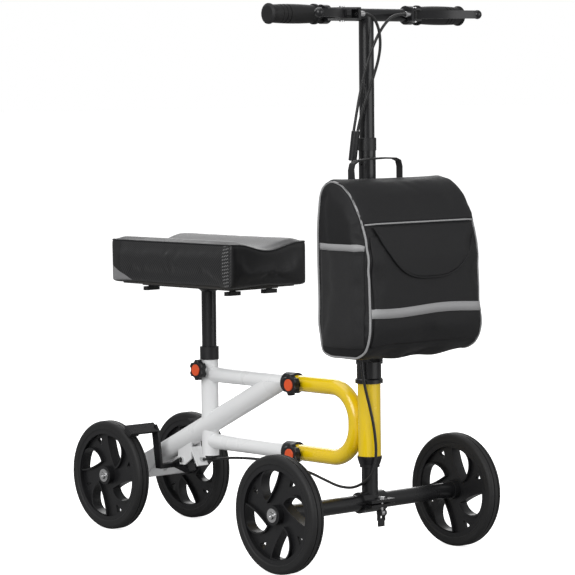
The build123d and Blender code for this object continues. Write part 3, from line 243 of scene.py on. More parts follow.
# %% A finish with drifting colour, roughness and grain
def make_finish(name, tone, other_tone, roughness, metallic=0.0, coat=0.0, grain=900.0, bump=0.05,
                spread=0.12, specular=0.5):
    """A Principled material whose colour and roughness drift with the grain group's blotches."""
    finish = bpy.data.materials.new(name)
    finish.use_nodes = True
    tree = finish.node_tree
    bsdf = tree.nodes["Principled BSDF"]
    bsdf.inputs["Metallic"].default_value = metallic
    bsdf.inputs["Coat Weight"].default_value = coat
    bsdf.inputs["Coat Roughness"].default_value = 0.12
    bsdf.inputs["Specular IOR Level"].default_value = specular
    group = tree.nodes.new("ShaderNodeGroup")
    group.node_tree = grain_group
    group.inputs["Scale"].default_value = grain
    colour = tree.nodes.new("ShaderNodeMix")
    colour.data_type = "RGBA"
    colour.inputs["A"].default_value = (*tone, 1)
    colour.inputs["B"].default_value = (*other_tone, 1)
    tree.links.new(group.outputs["Blotch"], colour.inputs["Factor"])
    tree.links.new(colour.outputs["Result"], bsdf.inputs["Base Color"])
    rough = tree.nodes.new("ShaderNodeMapRange")
    rough.inputs["To Min"].default_value = max(0.02, roughness - spread)
    rough.inputs["To Max"].default_value = roughness + spread
    tree.links.new(group.outputs["Blotch"], rough.inputs["Value"])
    tree.links.new(rough.outputs["Result"], bsdf.inputs["Roughness"])
    relief = tree.nodes.new("ShaderNodeBump")
    relief.inputs["Strength"].default_value = bump
    relief.inputs["Distance"].default_value = 0.4 * MM
    tree.links.new(group.outputs["Height"], relief.inputs["Height"])
    tree.links.new(relief.outputs["Normal"], bsdf.inputs["Normal"])
    return finish


FINISHES = {
    "white_paint": make_finish("white powder coat", (0.88, 0.88, 0.88), (0.80, 0.81, 0.82), 0.28,
                               coat=0.6, grain=420, bump=0.12, spread=0.06),
    "yellow_paint": make_finish("yellow powder coat", (0.90, 0.64, 0.004), (0.84, 0.57, 0.003), 0.26,
                                coat=0.6, grain=420, bump=0.12, spread=0.06),
    "black_metal": make_finish("black satin paint", (0.006, 0.006, 0.007), (0.012, 0.012, 0.013), 0.28,
                               coat=0.05, grain=500, bump=0.08, spread=0.06, specular=0.4),
    "black_plastic": make_finish("moulded black plastic", (0.008, 0.008, 0.009), (0.016, 0.016, 0.017), 0.40,
                                 grain=1500, bump=0.25, specular=0.35),
    "bright_steel": make_finish("zinc plated steel", (0.62, 0.62, 0.62), (0.48, 0.48, 0.49), 0.27,
                                metallic=1.0, grain=1200, bump=0.08),
    "orange_plastic": make_finish("orange plastic", (0.80, 0.10, 0.02), (0.66, 0.075, 0.016), 0.38,
                                  grain=1200, bump=0.12),
    "wheel_plastic": make_finish("moulded wheel plastic", (0.007, 0.007, 0.008), (0.014, 0.014, 0.015), 0.36,
                                 grain=1300, bump=0.2, specular=0.35),
    "tyre_rubber": make_finish("solid tyre rubber", (0.010, 0.010, 0.011), (0.020, 0.020, 0.020), 0.55,
                               grain=1700, bump=0.4, specular=0.3),
    "grip_rubber": make_finish("soft grip rubber", (0.008, 0.008, 0.009), (0.018, 0.018, 0.018), 0.55,
                               grain=1900, bump=0.4, specular=0.3),
    "board_wood": make_finish("painted board", (0.02, 0.02, 0.02), (0.05, 0.045, 0.04), 0.7,
                              grain=300, bump=0.3),
    "cable_black": make_finish("cable housing", (0.010, 0.010, 0.011), (0.02, 0.02, 0.02), 0.30,
                               grain=2000, bump=0.1, specular=0.4),
}
for subpart in frame["record"]["subparts"]:
    if subpart["material_slot"] in FINISHES:
        piece = nodes[subpart["node"]]
        piece.data.materials.clear()
        piece.data.materials.append(FINISHES[subpart["material_slot"]])
print("finishes", len(FINISHES))

# %% [markdown]
# ## Brake cables
# A brake cable is a steel wire in a black housing about 5 mm thick. It leaves each lever towards the
# middle of the bar, curves down, meets its partner in a joiner beside the column, and one cable runs on
# to the rear brake. Each stretch is a NURBS curve whose control points are the corners of its route.


# %% Curves become meshes
def link_mesh(name, mesh, body, finish):
    """A new piece with that mesh, smooth shaded; it rides on a body, or on none yet where body is None."""
    piece = bpy.data.objects.new(name, mesh)
    bpy.context.collection.objects.link(piece)
    for polygon in mesh.polygons:
        polygon.use_smooth = True
    mesh.materials.clear()
    mesh.materials.append(finish)
    if body is not None:
        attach(piece, body)
    return piece


def tube_mesh(name, points, radius, closed=False, sides=5):
    """The mesh of a round tube along a NURBS curve with these control points."""
    curve = bpy.data.curves.new(name, "CURVE")
    curve.dimensions = "3D"
    curve.bevel_depth = radius
    curve.bevel_resolution = sides
    curve.use_fill_caps = not closed
    spline = curve.splines.new("NURBS")
    spline.points.add(len(points) - 1)
    for control, point in zip(spline.points, points):
        control.co = (*point, 1)
    spline.order_u = 3
    spline.use_endpoint_u = not closed
    spline.use_cyclic_u = closed
    spline.resolution_u = 8
    route = bpy.data.objects.new(name, curve)
    bpy.context.collection.objects.link(route)
    bpy.context.view_layer.update()
    depsgraph = bpy.context.evaluated_depsgraph_get()
    mesh = bpy.data.meshes.new_from_object(route.evaluated_get(depsgraph))
    bpy.data.objects.remove(route)
    return mesh


# %% The four stretches of cable
head_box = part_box("head_tube")
head_x = (head_box[0].x + head_box[1].x) / 2
CABLE_RADIUS = 2.5 * MM
BAR_HEIGHT = 945  # the handlebar's middle, in millimetres


def add_cable(name, points, cad_node):
    """A cable through route points given as (reach from the head axis, y, z) in millimetres."""
    route = [(head_x + reach * MM, y * MM, z * MM) for reach, y, z in points]
    piece = link_mesh(name, tube_mesh(name, route, CABLE_RADIUS), None, FINISHES["cable_black"])
    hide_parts(cad_node)
    return piece


right_cable = add_cable("right_lever_cable", [
    (45, -49, BAR_HEIGHT), (45, -30, BAR_HEIGHT), (44.3, -12.5, 923), (42.5, -6.5, 893), (36.7, -7.1, 866),
    (29.5, -10, 843), (20.7, -15.8, 811), (10, -23.2, 776), (4.6, -26.6, 746)], "cable_right")
left_cable = add_cable("left_lever_cable", [
    (45, 49, BAR_HEIGHT), (45, 30, BAR_HEIGHT), (41.5, 14, 937), (35.3, 0, 918), (28.2, -10.6, 892),
    (19.9, -18.3, 860), (12.6, -23.4, 826), (6.5, -28.6, 786), (1.6, -33.0, 746.6)], "cable_left")
column_cable = add_cable("column_cable", [
    (-3.3, -32.0, 694.5), (-1, -29.5, 640), (3, -28.6, 580), (0, -29.6, 520), (4, -28.6, 460),
    (6, -29.4, 405), (12.0, -28.5, 345.0)], "brake_cable_column")
frame_cable = add_cable("frame_cable", [
    (12.0, -28.5, 345.0), (15, -28.05, 315), (20, -17, 268), (24.5, -10, 224), (27, -9.5, 182),
    (21.5, -15, 148), (-12, -23.5, 126), (-50, -24.5, 124.5), (-88, -20, 131), (-146, -14, 142.5),
    (-205, -17, 149), (-262, -18, 153), (-318, -15, 150.5), (-372, -8, 145), (-415, 0, 137.8),
    (-445, 0, 134.8)], "brake_cable_rear")
for cable in (right_cable, left_cable):
    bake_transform(cable)
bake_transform(column_cable)
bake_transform(frame_cable)
print("cables", [o.name for o in (right_cable, left_cable, column_cable, frame_cable)])

# %% [markdown]
# ## Stuffed and sewn pieces
# A padded piece is never flat: the stuffing pushes every panel out between its seams. Blender's cloth
# with pressure and no gravity does the same thing to a closed mesh. The mesh is first rebuilt with even
# small faces, blown up for a few frames, and then each point is held to a few millimetres from where it
# began, so the piece keeps its measured size.


# %% Blow up a closed mesh like stuffing
def evaluated_mesh(piece):
    """The mesh of a piece with its modifiers applied."""
    bpy.context.view_layer.update()
    depsgraph = bpy.context.evaluated_depsgraph_get()
    return bpy.data.meshes.new_from_object(piece.evaluated_get(depsgraph), depsgraph=depsgraph)


def puff(piece, voxel, pressure, limit, frames=20):
    """Even out a closed piece's mesh and swell it by up to limit, as stuffing would."""
    remesh = piece.modifiers.new("even faces", "REMESH")
    remesh.mode = "VOXEL"
    remesh.voxel_size = voxel
    even = evaluated_mesh(piece)
    piece.modifiers.clear()
    piece.data = even
    start = [vertex.co.copy() for vertex in even.vertices]
    cloth = piece.modifiers.new("stuffing", "CLOTH")
    cloth.settings.use_pressure = True
    cloth.settings.uniform_pressure_force = pressure
    cloth.settings.effector_weights.gravity = 0
    scene = bpy.context.scene
    for number in range(1, frames + 1):
        scene.frame_set(number)
    swollen = evaluated_mesh(piece)
    piece.modifiers.clear()
    for vertex, rest in zip(swollen.vertices, start):
        move = vertex.co - rest
        if move.length > limit:
            vertex.co = rest + move.normalized() * limit
    piece.data = swollen
    scene.frame_set(1)


def mesh_from(shape, name):
    """A mesh data block from a bmesh, which is then freed."""
    mesh = bpy.data.meshes.new(name)
    shape.to_mesh(mesh)
    shape.free()
    return mesh


def smooth_step(value):
    """0 below 0, 1 above 1, and a soft ramp between."""
    clamped = min(1.0, max(0.0, value))
    return clamped * clamped * (3 - 2 * clamped)


# %% [markdown]
# ## Knee pad: its shape
# The pad is a foam block on a board, under sewn vinyl. Its top has a trough along the scooter that keeps
# the shin in the middle. A rounded box is cut into strips, its top is lowered along the middle, and the
# stuffing recipe crowns the sides.

# %% Knee pad block with a trough
pad_low, pad_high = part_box("knee_pad")
PAD_INSET = 1 * MM  # the block starts this much smaller, and the stuffing fills it
pad_middle = (pad_low + pad_high) / 2
pad_size = pad_high - pad_low
TROUGH_DEPTH = 14 * MM
TROUGH_REACH = 0.40  # of the pad's width, from its middle to each ridge
PAD_CORNER = 8 * MM
PAD_RIM = 4 * MM


def trough_drop(y):
    """How far the pad's top lies below its side ridges."""
    reach = min(1.0, abs(y) / (TROUGH_REACH * pad_size.y))
    return TROUGH_DEPTH * (0.5 + 0.5 * math.cos(math.pi * reach))


pad_shape = bmesh.new()
bmesh.ops.create_cube(pad_shape, size=1)
bmesh.ops.scale(pad_shape, vec=(pad_size.x - 2 * PAD_INSET, pad_size.y - 2 * PAD_INSET,
                                pad_size.z - 1.4 * PAD_INSET), verts=pad_shape.verts)
bmesh.ops.translate(pad_shape, vec=pad_middle + Vector((0, 0, -0.3 * PAD_INSET)), verts=pad_shape.verts)
corners = [e for e in pad_shape.edges if abs(e.verts[0].co.z - e.verts[1].co.z) > 0.02]
bmesh.ops.bevel(pad_shape, geom=corners, offset=PAD_CORNER, segments=4, profile=0.5, affect="EDGES",
                material=-1)
top_z = max(v.co.z for v in pad_shape.verts)
rim = [e for e in pad_shape.edges if all(v.co.z > top_z - 0.001 for v in e.verts)]
bmesh.ops.bevel(pad_shape, geom=rim, offset=PAD_RIM, segments=3, profile=0.5, affect="EDGES",
                material=-1)
for step in range(-8, 9):
    bmesh.ops.bisect_plane(pad_shape, geom=pad_shape.verts[:] + pad_shape.edges[:] + pad_shape.faces[:],
                           plane_co=(0, step * 10 * MM, 0), plane_no=(0, 1, 0))
for vertex in pad_shape.verts:
    near_top = smooth_step((vertex.co.z - (top_z - 12 * MM)) / (12 * MM))
    vertex.co.z -= trough_drop(vertex.co.y) * near_top
knee_pad = bpy.data.objects.new("knee_pad_cover", mesh_from(pad_shape, "knee_pad_cover"))
bpy.context.collection.objects.link(knee_pad)
puff(knee_pad, voxel=5 * MM, pressure=4, limit=3 * MM)
print("knee pad faces", len(knee_pad.data.polygons))

# %% [markdown]
# ## Knee pad: its cover
# The cover is sewn from four materials: a plain vinyl top with a soft sheen, long sides with a diagonal
# woven look, smooth black end panels, and a light grey triangle at each lower rear corner. Faces that
# look up get the top finish, those that look forward, back or down the end finish, and all the others
# the side finish, which draws its panels from the place on the pad, so their edges stay sharp whatever
# the mesh.


# %% Masks that a cover finish is built from
def step_mask(tree, value, edge, softness):
    """0 below an edge and 1 above it, over a width of softness."""
    ramp = tree.nodes.new("ShaderNodeMapRange")
    ramp.interpolation_type = "SMOOTHSTEP"
    ramp.inputs["From Min"].default_value = edge - softness / 2
    ramp.inputs["From Max"].default_value = edge + softness / 2
    tree.links.new(value, ramp.inputs["Value"])
    return ramp.outputs["Result"]


def mix_colours(tree, mask, first, second):
    """A colour that goes from first to second with the mask; each is a colour or a socket."""
    mix = tree.nodes.new("ShaderNodeMix")
    mix.data_type = "RGBA"
    tree.links.new(mask, mix.inputs["Factor"])
    for label, colour in (("A", first), ("B", second)):
        if isinstance(colour, tuple):
            mix.inputs[label].default_value = (*colour, 1)
        else:
            tree.links.new(colour, mix.inputs[label])
    return mix.outputs["Result"]


def blank_finish(name, roughness, coat=0.0, sheen=0.0):
    """A Principled material to build on; returns the material, its tree and its shader."""
    finish = bpy.data.materials.new(name)
    finish.use_nodes = True
    bsdf = finish.node_tree.nodes["Principled BSDF"]
    bsdf.inputs["Roughness"].default_value = roughness
    bsdf.inputs["Coat Weight"].default_value = coat
    bsdf.inputs["Sheen Weight"].default_value = sheen
    bsdf.inputs["Specular IOR Level"].default_value = 0.35
    return finish, finish.node_tree, bsdf


def connect_bump(tree, bsdf, height, strength, distance=0.5 * MM):
    """Feed a height to the shader's normal."""
    relief = tree.nodes.new("ShaderNodeBump")
    relief.inputs["Strength"].default_value = strength
    relief.inputs["Distance"].default_value = distance
    tree.links.new(height, relief.inputs["Height"])
    tree.links.new(relief.outputs["Normal"], bsdf.inputs["Normal"])


def add_grain(tree, scale):
    """The surface grain group; returns its height and blotch sockets."""
    group = tree.nodes.new("ShaderNodeGroup")
    group.node_tree = grain_group
    group.inputs["Scale"].default_value = scale
    return group.outputs["Height"], group.outputs["Blotch"]


# %% Side finish: diagonal weave, end panel, grey triangle and a stitched front seam
side_vinyl, tree, bsdf = blank_finish("pad side vinyl", 0.42, coat=0.15)
axis_x, axis_y, axis_z = object_axes(tree)
WEAVE_PITCH = 5.4 * MM
END_PANEL = 36 * MM  # length of the plain panel at the pad's rear
PANEL_EDGE = 0.6 * MM  # softness of the line between two panels
TRIANGLE_HEIGHT = 33 * MM
TRIANGLE_SLOPE = 0.47
STITCH_PITCH = 6 * MM
STITCH_ROW_PITCH = 7.5 * MM
diagonal = math_node(tree, "MULTIPLY", math_node(tree, "SUBTRACT", axis_x, axis_z),
                     2 * math.pi / WEAVE_PITCH)
stripes = step_mask(tree, math_node(tree, "SINE", diagonal), 0.0, 1.4)
woven = mix_colours(tree, stripes, (0.004, 0.004, 0.005), (0.026, 0.026, 0.027))
end_panel = step_mask(tree, axis_x, pad_low.x + END_PANEL, PANEL_EDGE)
sides = mix_colours(tree, end_panel, (0.007, 0.007, 0.008), woven)
from_rear = math_node(tree, "SUBTRACT", axis_x, pad_low.x)
slope_line = math_node(tree, "ADD", math_node(tree, "MULTIPLY", from_rear, TRIANGLE_SLOPE),
                       math_node(tree, "SUBTRACT", axis_z, pad_low.z))
triangle = step_mask(tree, slope_line, TRIANGLE_HEIGHT, PANEL_EDGE)
panels = mix_colours(tree, triangle, (0.22, 0.22, 0.225), sides)
seam_start = step_mask(tree, axis_x, pad_high.x - 26 * MM, 0.8 * MM)
seam_end = step_mask(tree, axis_x, pad_high.x - 11 * MM, 0.8 * MM)
seam_band = math_node(tree, "SUBTRACT", seam_start, seam_end)
leaning = math_node(tree, "ADD", axis_z, math_node(tree, "MULTIPLY", axis_x, 0.6))
stitch_wave = math_node(tree, "SINE", math_node(tree, "MULTIPLY", leaning, 2 * math.pi / STITCH_PITCH))
stitch_row = math_node(tree, "SINE", math_node(tree, "MULTIPLY", axis_x, 2 * math.pi / STITCH_ROW_PITCH))
stitches = step_mask(tree, math_node(tree, "MULTIPLY", stitch_wave, stitch_row), 0.45, 0.3)
stitch_mask = math_node(tree, "MULTIPLY", stitches, seam_band)
covered = mix_colours(tree, stitch_mask, panels, (0.20, 0.20, 0.20))
tree.links.new(covered, bsdf.inputs["Base Color"])
fine, _ = add_grain(tree, 1300)
relief_height = math_node(tree, "ADD", math_node(tree, "MULTIPLY", stripes, end_panel), fine)
connect_bump(tree, bsdf, relief_height, 0.35)
print("side vinyl nodes", len(tree.nodes))

# %% Top and end finishes
top_vinyl, tree, bsdf = blank_finish("pad top vinyl", 0.50, sheen=0.1)
axis_x, axis_y, axis_z = object_axes(tree)
rear_strip = step_mask(tree, axis_x, pad_low.x + END_PANEL, PANEL_EDGE)
fine, blotches = add_grain(tree, 1000)
soft_grey = mix_colours(tree, blotches, (0.026, 0.026, 0.027), (0.042, 0.042, 0.044))
tree.links.new(mix_colours(tree, rear_strip, (0.014, 0.014, 0.015), soft_grey), bsdf.inputs["Base Color"])
connect_bump(tree, bsdf, fine, 0.3)
end_vinyl = make_finish("pad end vinyl", (0.006, 0.006, 0.007), (0.011, 0.011, 0.012), 0.42,
                        grain=1100, bump=0.2, specular=0.35)

# %% Give each face of the pad its panel's finish, and subdivide once
TOP_SLOT, END_SLOT = 1, 2
END_TURN = 0.70  # a face whose normal has more than this along an axis looks that way
for finish in (side_vinyl, top_vinyl, end_vinyl):
    knee_pad.data.materials.append(finish)
for polygon in knee_pad.data.polygons:
    polygon.use_smooth = True
    if polygon.normal.z > 0.60 and polygon.center.z > pad_middle.z:
        polygon.material_index = TOP_SLOT
    elif abs(polygon.normal.x) > END_TURN or polygon.normal.z < -END_TURN:
        polygon.material_index = END_SLOT
subdivide = knee_pad.modifiers.new("one finer level", "SUBSURF")
subdivide.levels = 1
subdivide.render_levels = 1
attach(knee_pad, "seat")
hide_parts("knee_pad")
print("knee pad covers", pad_size)

# %% [markdown]
# ## Knee pad: the sewn edge
# A thin welt is sewn in where the top meets the sides. It runs round the pad just inside its outline, so
# its points start on a rounded rectangle and are dropped to the nearest place on the finished cover.


# %% Points and strips laid on a finished surface
def surface_of(piece):
    """A search tree of a piece's finished surface."""
    mesh = evaluated_mesh(piece)
    shape = bmesh.new()
    shape.from_mesh(mesh)
    found = BVHTree.FromBMesh(shape)
    shape.free()
    return found


def drop_on(surface, point, lift=0.0):
    """The nearest place on a surface, raised along its normal."""
    place, normal, _, _ = surface.find_nearest(Vector(point))
    return place + normal * lift


def rounded_loop(low, high, corner, per_corner=5):
    """Points (x, y) round a rectangle with rounded corners."""
    points = []
    corners = ((high.x, high.y), (low.x, high.y), (low.x, low.y), (high.x, low.y))
    for quarter, (cx, cy) in enumerate(corners):
        centre = Vector((cx - math.copysign(corner, cx - (low.x + high.x) / 2),
                         cy - math.copysign(corner, cy - (low.y + high.y) / 2)))
        for step in range(per_corner):
            angle = math.radians(90 * quarter + 90 * step / (per_corner - 1))
            points.append(centre + corner * Vector((math.cos(angle), math.sin(angle))))
    return points


# %% Welt round the top of the pad
pad_surface = surface_of(knee_pad)
WELT_INSET = 3 * MM
welt_margin = Vector((WELT_INSET, WELT_INSET))
welt_outline = rounded_loop(pad_low.xy + welt_margin, pad_high.xy - welt_margin, PAD_CORNER)
welt_points = []
for here, after in zip(welt_outline, welt_outline[1:] + welt_outline[:1]):
    steps = max(1, round((after - here).length / (20 * MM)))
    for step in range(steps):
        flat = here.lerp(after, step / steps)
        guess = (flat.x, flat.y, pad_high.z - WELT_INSET - trough_drop(flat.y))
        welt_points.append(drop_on(pad_surface, guess, 0.3 * MM))
link_mesh("knee_pad_welt", tube_mesh("knee_pad_welt", welt_points, 1.5 * MM, closed=True, sides=3),
          "seat", end_vinyl)
print("welt points", len(welt_points))

# %% [markdown]
# ## Bag: its shell
# The front bag is nylon cloth over a thin stiffener: flat against the column and sagging back on each
# side of it, with a top that slopes down to an upright front and a round lower edge. Its side outline is
# drawn once with a few vertices, pulled across the scooter's width, rounded at both sides and then
# swollen a little, so that no panel is flat. A slow noise adds the soft dents of cloth.

# %% Bag outline
# Each point is (reach from the head axis, height) in millimetres. They start near the top of the back
# and run over the top, down the front and along the bottom.
bag_low, bag_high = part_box("bag_body")
BAG_OUTLINE = [(19, 640), (24, 660), (44, 671), (74, 663), (101, 641), (122, 608), (136, 571), (143, 535),
               (144.5, 480), (144.5, 415), (141, 392), (130, 374), (110, 363), (40, 362), (22, 368)]
BAG_INSET = 4 * MM  # the shell starts this much smaller, and the stuffing fills it
SIDE_BULGE = 7 * MM  # the soft sides stand out past the stiffened box
BACK_BULGE = 13 * MM  # and sag back on each side of the column
bag_middle = Vector((head_x + 0.082, 0, 0.515))


def outline_point(distance):
    """A place on the bag's outline, as (reach, height) in metres, at a distance from its first point."""
    for (h0, z0), (h1, z1) in zip(BAG_OUTLINE, BAG_OUTLINE[1:] + BAG_OUTLINE[:1]):
        length = math.hypot(h1 - h0, z1 - z0) * MM
        if distance <= length:
            share = distance / length
            return (h0 + (h1 - h0) * share) * MM, (z0 + (z1 - z0) * share) * MM
        distance -= length
    return BAG_OUTLINE[0][0] * MM, BAG_OUTLINE[0][1] * MM


bag_shape = bmesh.new()
side_vertices = []
for reach, height in BAG_OUTLINE:
    corner = Vector((head_x + reach * MM, bag_low.y + BAG_INSET, height * MM))
    towards = Vector((bag_middle.x - corner.x, 0, bag_middle.z - corner.z)).normalized()
    side_vertices.append(bag_shape.verts.new(corner + towards * BAG_INSET * 0.6))
side_face = bag_shape.faces.new(side_vertices)
pulled = bmesh.ops.extrude_face_region(bag_shape, geom=[side_face])
bmesh.ops.translate(bag_shape, vec=(0, bag_high.y - bag_low.y - 2 * BAG_INSET, 0),
                    verts=[v for v in pulled["geom"] if isinstance(v, bmesh.types.BMVert)])
bmesh.ops.recalc_face_normals(bag_shape, faces=bag_shape.faces)
side_rims = [e for e in bag_shape.edges if abs(e.verts[0].co.y - e.verts[1].co.y) < 0.001]
bmesh.ops.bevel(bag_shape, geom=side_rims, offset=5 * MM, segments=2, profile=0.5, affect="EDGES",
                material=-1)
bag = bpy.data.objects.new("bag_shell", mesh_from(bag_shape, "bag_shell"))
bpy.context.collection.objects.link(bag)
puff(bag, voxel=6 * MM, pressure=3, limit=5 * MM)
for vertex in bag.data.vertices:
    dent = noise.noise(Vector((vertex.co.x * 9, vertex.co.y * 7, vertex.co.z * 8 + 3)))
    crease = noise.noise(Vector((vertex.co.y * 22, vertex.co.z * 9, 7)))
    looseness = 0.6 + 0.8 * smooth_step((0.52 - vertex.co.z) / 0.14)
    inward = Vector((bag_middle.x - vertex.co.x, bag_middle.y - vertex.co.y, 0)).normalized()
    vertex.co += inward * (max(0.0, dent) * 3.2 + max(0.0, crease) * 1.4) * looseness * MM
    vertex.co.z += 1.6 * MM * math.sin(vertex.co.y * 70) * smooth_step((0.40 - vertex.co.z) / 0.03)
for vertex in bag.data.vertices:
    outward = smooth_step((abs(vertex.co.y) - 0.085) / 0.05)
    belly = smooth_step((vertex.co.z - bag_low.z) / 0.06) * smooth_step((bag_high.z - vertex.co.z) / 0.10)
    rearward = smooth_step((bag_low.x + 0.055 - vertex.co.x) / 0.055)
    vertex.co.y += math.copysign(SIDE_BULGE * outward * (0.4 + 0.6 * belly), vertex.co.y)
    vertex.co.x -= BACK_BULGE * outward * rearward * (0.3 + 0.7 * belly)
print("bag faces", len(bag.data.polygons))

# %% [markdown]
# ## Bag: its cloths
# The shell is black nylon with a fine weave that catches a little light. The lower half of each side is a
# net pocket, greyer and open. The piping and the bands are a silver-grey reflective tape.


# %% Cloth finishes
def make_cloth(name, tone, other_tone, roughness, sheen, threads, bump):
    """Woven cloth: thread relief, and blotches that vary its darkness."""
    finish, tree, bsdf = blank_finish(name, roughness, sheen=sheen)
    weave = tree.nodes.new("ShaderNodeGroup")
    weave.node_tree = weave_group
    weave.inputs["Threads Per Metre"].default_value = threads
    fine, blotches = add_grain(tree, 60)
    worn = mix_colours(tree, blotches, tone, other_tone)
    tree.links.new(mix_colours(tree, weave.outputs["Shade"], tuple(0.8 * part for part in tone), worn),
                   bsdf.inputs["Base Color"])
    thread_height = math_node(tree, "ADD", weave.outputs["Height"], math_node(tree, "MULTIPLY", fine, 1.5))
    connect_bump(tree, bsdf, thread_height, bump)
    return finish


nylon = make_cloth("black nylon", (0.004, 0.004, 0.005), (0.009, 0.009, 0.010), 0.6, 0.0, 620, 0.35)
net = make_cloth("net pocket", (0.010, 0.010, 0.011), (0.026, 0.026, 0.027), 0.7, 0.05, 330, 0.9)
tape = make_cloth("reflective tape", (0.30, 0.30, 0.305), (0.40, 0.40, 0.405), 0.42, 0.0, 420, 0.3)
webbing = make_cloth("black webbing", (0.006, 0.006, 0.007), (0.014, 0.014, 0.014), 0.62, 0.1, 260, 1.0)
bag.data.materials.append(nylon)
for polygon in bag.data.polygons:
    polygon.use_smooth = True
soft = bag.modifiers.new("one finer level", "SUBSURF")
soft.levels = 1
soft.render_levels = 1
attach(bag, "column")
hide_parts("bag_body")
print("cloths", nylon.name, net.name, tape.name, webbing.name)

# %% [markdown]
# ## Bag: panels sewn on the shell
# The lid, the half-moon flap, the front pocket, the net pockets and the tape bands are separate layers of
# cloth. Each starts as a flat grid, is placed roughly by a short rule, and is then dropped on the shell,
# so that it follows every dent, and given a thickness.


# %% A layer of cloth laid on the shell
bag_surface = surface_of(bag)


def lay_cloth(name, columns, rows, place, lift, thickness, finish, surface=bag_surface):
    """A grid whose point (u, v), each 0 to 1, goes near place(u, v) and then onto the surface."""
    shape = bmesh.new()
    bmesh.ops.create_grid(shape, x_segments=columns, y_segments=rows, size=0.5)
    for vertex in shape.verts:
        guess = Vector(place(vertex.co.x + 0.5, vertex.co.y + 0.5))
        vertex.co = guess if surface is None else drop_on(surface, guess, lift)
    bmesh.ops.recalc_face_normals(shape, faces=shape.faces)
    piece = link_mesh(name, mesh_from(shape, name), "column", finish)
    wall = piece.modifiers.new("cloth thickness", "SOLIDIFY")
    wall.thickness = thickness
    wall.offset = 0
    return piece


LID_FRONT = 592 * MM  # height of the lid's front edge
LID_WIDTH, FLAP_WIDTH, POCKET_WIDTH, BAND_WIDTH = 0.270, 0.236, 0.252, 0.266
POCKET_LOW, POCKET_HEIGHT = 0.380, 0.195
FRONT_REACH = 0.146  # just before the bag's front, seen from the head axis
lid_length = next(d * MM for d in range(1, 400) if outline_point(d * MM)[1] < LID_FRONT)


def lid_place(u, v):
    """The lid follows the outline from the back, over the top, to its front edge."""
    reach, height = outline_point(v * lid_length)
    return head_x + reach, (u - 0.5) * LID_WIDTH, height


def flap_place(u, v):
    """The flap hangs below the lid and is lowest near its middle."""
    y = (u - 0.5) * FLAP_WIDTH
    lowest = 0.499 + 0.092 * min(1.0, abs((y - 0.006) / 0.124)) ** 3.0
    return head_x + FRONT_REACH, y, lowest + v * (LID_FRONT - 0.001 - lowest)


def pocket_place(u, v):
    """The front pocket covers the lower front."""
    return head_x + FRONT_REACH, (u - 0.5) * POCKET_WIDTH, POCKET_LOW + v * POCKET_HEIGHT


lay_cloth("bag_lid", 44, 26, lid_place, 1.7 * MM, 1.8 * MM, nylon)
lay_cloth("bag_front_pocket", 40, 30, pocket_place, 1.2 * MM, 1.4 * MM, nylon)
lay_cloth("bag_flap", 44, 20, flap_place, 3.6 * MM, 2.0 * MM, nylon)
print("lid length", lid_length)


# %% Tape bands and net pockets
SIDE_REACH = 0.139  # just outside the bag's side, from the scooter's middle


def front_band_place(u, v):
    """A band right across the front, with a slight wave."""
    y = (u - 0.5) * BAND_WIDTH
    return head_x + 0.148, y, 0.437 + 0.016 * v + 0.0022 * math.sin(y * 26 + 0.6)


def side_place(side, bottom, top, back, front):
    """A rule for a panel on one side of the bag, between two heights."""
    def place(u, v):
        return head_x + back + u * (front - back), side * SIDE_REACH, bottom + v * (top - bottom)
    return place


lay_cloth("bag_front_band", 60, 2, front_band_place, 2.9 * MM, 0.9 * MM, tape)
for side, label in ((-1, "right"), (1, "left")):
    net_place = side_place(side, 0.384, 0.556, 0.027, 0.134)
    lay_cloth(f"bag_net_{label}", 20, 26, net_place, 1.0 * MM, 0.9 * MM, net)
    band_place = side_place(side, 0.548, 0.559, 0.026, 0.137)
    lay_cloth(f"bag_side_band_{label}", 20, 2, band_place, 2.0 * MM, 0.9 * MM, tape)
print("bands laid")

# %% Piping round each side, and along the edges of the lid and the flap
def add_piping(name, points, radius, finish, closed=False):
    """A thin round cord sewn on the bag along these points."""
    mesh = tube_mesh(name, points, radius, closed=closed, sides=3)
    link_mesh(name, mesh, "column", finish)


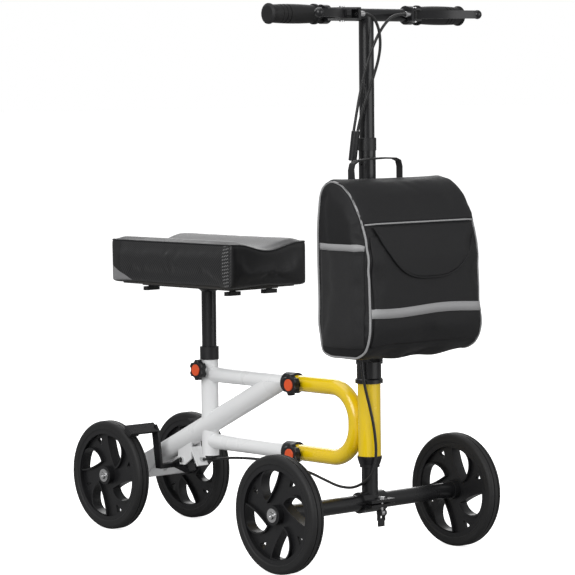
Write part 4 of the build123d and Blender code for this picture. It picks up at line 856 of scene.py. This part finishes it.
PIPING_STEPS = 60
PIPING_REACH = 0.1335  # from the scooter's middle to the piping of each side
outline_legs = zip(BAG_OUTLINE, BAG_OUTLINE[1:] + BAG_OUTLINE[:1])
outline_length = sum(math.dist(a, b) for a, b in outline_legs) * MM
for side, label in ((-1, "right"), (1, "left")):
    loop = []
    for step in range(PIPING_STEPS):
        reach, height = outline_point(outline_length * step / PIPING_STEPS)
        loop.append(drop_on(bag_surface, (head_x + reach, side * PIPING_REACH, height), 0.8 * MM))
    add_piping(f"bag_piping_{label}", loop, 2.0 * MM, tape, closed=True)
lid_edge = [drop_on(bag_surface, (head_x + 0.132, (step / 20 - 0.5) * 0.262, LID_FRONT), 3.0 * MM)
            for step in range(21)]
add_piping("bag_lid_piping", lid_edge, 1.5 * MM, tape)
flap_edge = [drop_on(bag_surface, flap_place(step / 30, 0), 4.4 * MM) for step in range(31)]
add_piping("bag_flap_hem", flap_edge, 1.7 * MM, nylon)
print("outline length", outline_length)

# %% [markdown]
# ## Bag: handle and straps
# A short webbing handle stands up behind the lid, and two bands hold the bag to the column. Webbing is
# flat, so each is a narrow grid bent along its path and given a thickness.

# %% Handle
HANDLE_PATH = [(-64, 664), (-64, 680), (-61, 690), (-52, 695), (-24, 698), (14, 699), (38, 698), (48, 694),
               (51, 684), (51, 664)]


def along_path(path, share):
    """A point at a share of the way along a path of (across, height) points in millimetres."""
    index = min(len(path) - 2, int(share * (len(path) - 1)))
    part = share * (len(path) - 1) - index
    (a0, b0), (a1, b1) = path[index], path[index + 1]
    return (a0 + (a1 - a0) * part) * MM, (b0 + (b1 - b0) * part) * MM


def handle_place(u, v):
    """A flat band that follows the handle's path across the bag."""
    across, height = along_path(HANDLE_PATH, v)
    return head_x + (20 + 14 * u) * MM, across, height


handle = lay_cloth("bag_handle", 3, 54, handle_place, 0, 3.0 * MM, webbing, surface=None)
round_over = handle.modifiers.new("soft edges", "BEVEL")
round_over.width = 0.9 * MM
round_over.segments = 2
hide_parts("bag_webbing")
STRAP_RADIUS = 15.9 * MM
STRAP_WIDTH = 25 * MM
STRAP_ROOT = 20 * MM  # from the head axis forward to where the strap is sewn on the bag's back


def strap_place(bottom):
    """A rule for a band that leaves the bag's back, passes round the column and returns."""
    def place(u, v):
        height = bottom + u * STRAP_WIDTH
        angle = math.radians(90 + 180 * (v - 0.25) / 0.5)
        if v < 0.25:
            return head_x + STRAP_ROOT * (1 - v / 0.25), STRAP_RADIUS, height
        if v > 0.75:
            return head_x + STRAP_ROOT * (v - 0.75) / 0.25, -STRAP_RADIUS, height
        return head_x + STRAP_RADIUS * math.cos(angle), STRAP_RADIUS * math.sin(angle), height
    return place


for label, bottom in (("lower", 0.432), ("upper", 0.612)):
    lay_cloth(f"bag_strap_{label}", 3, 40, strap_place(bottom), 0, 1.8 * MM, webbing, surface=None)
print("handle and straps done")
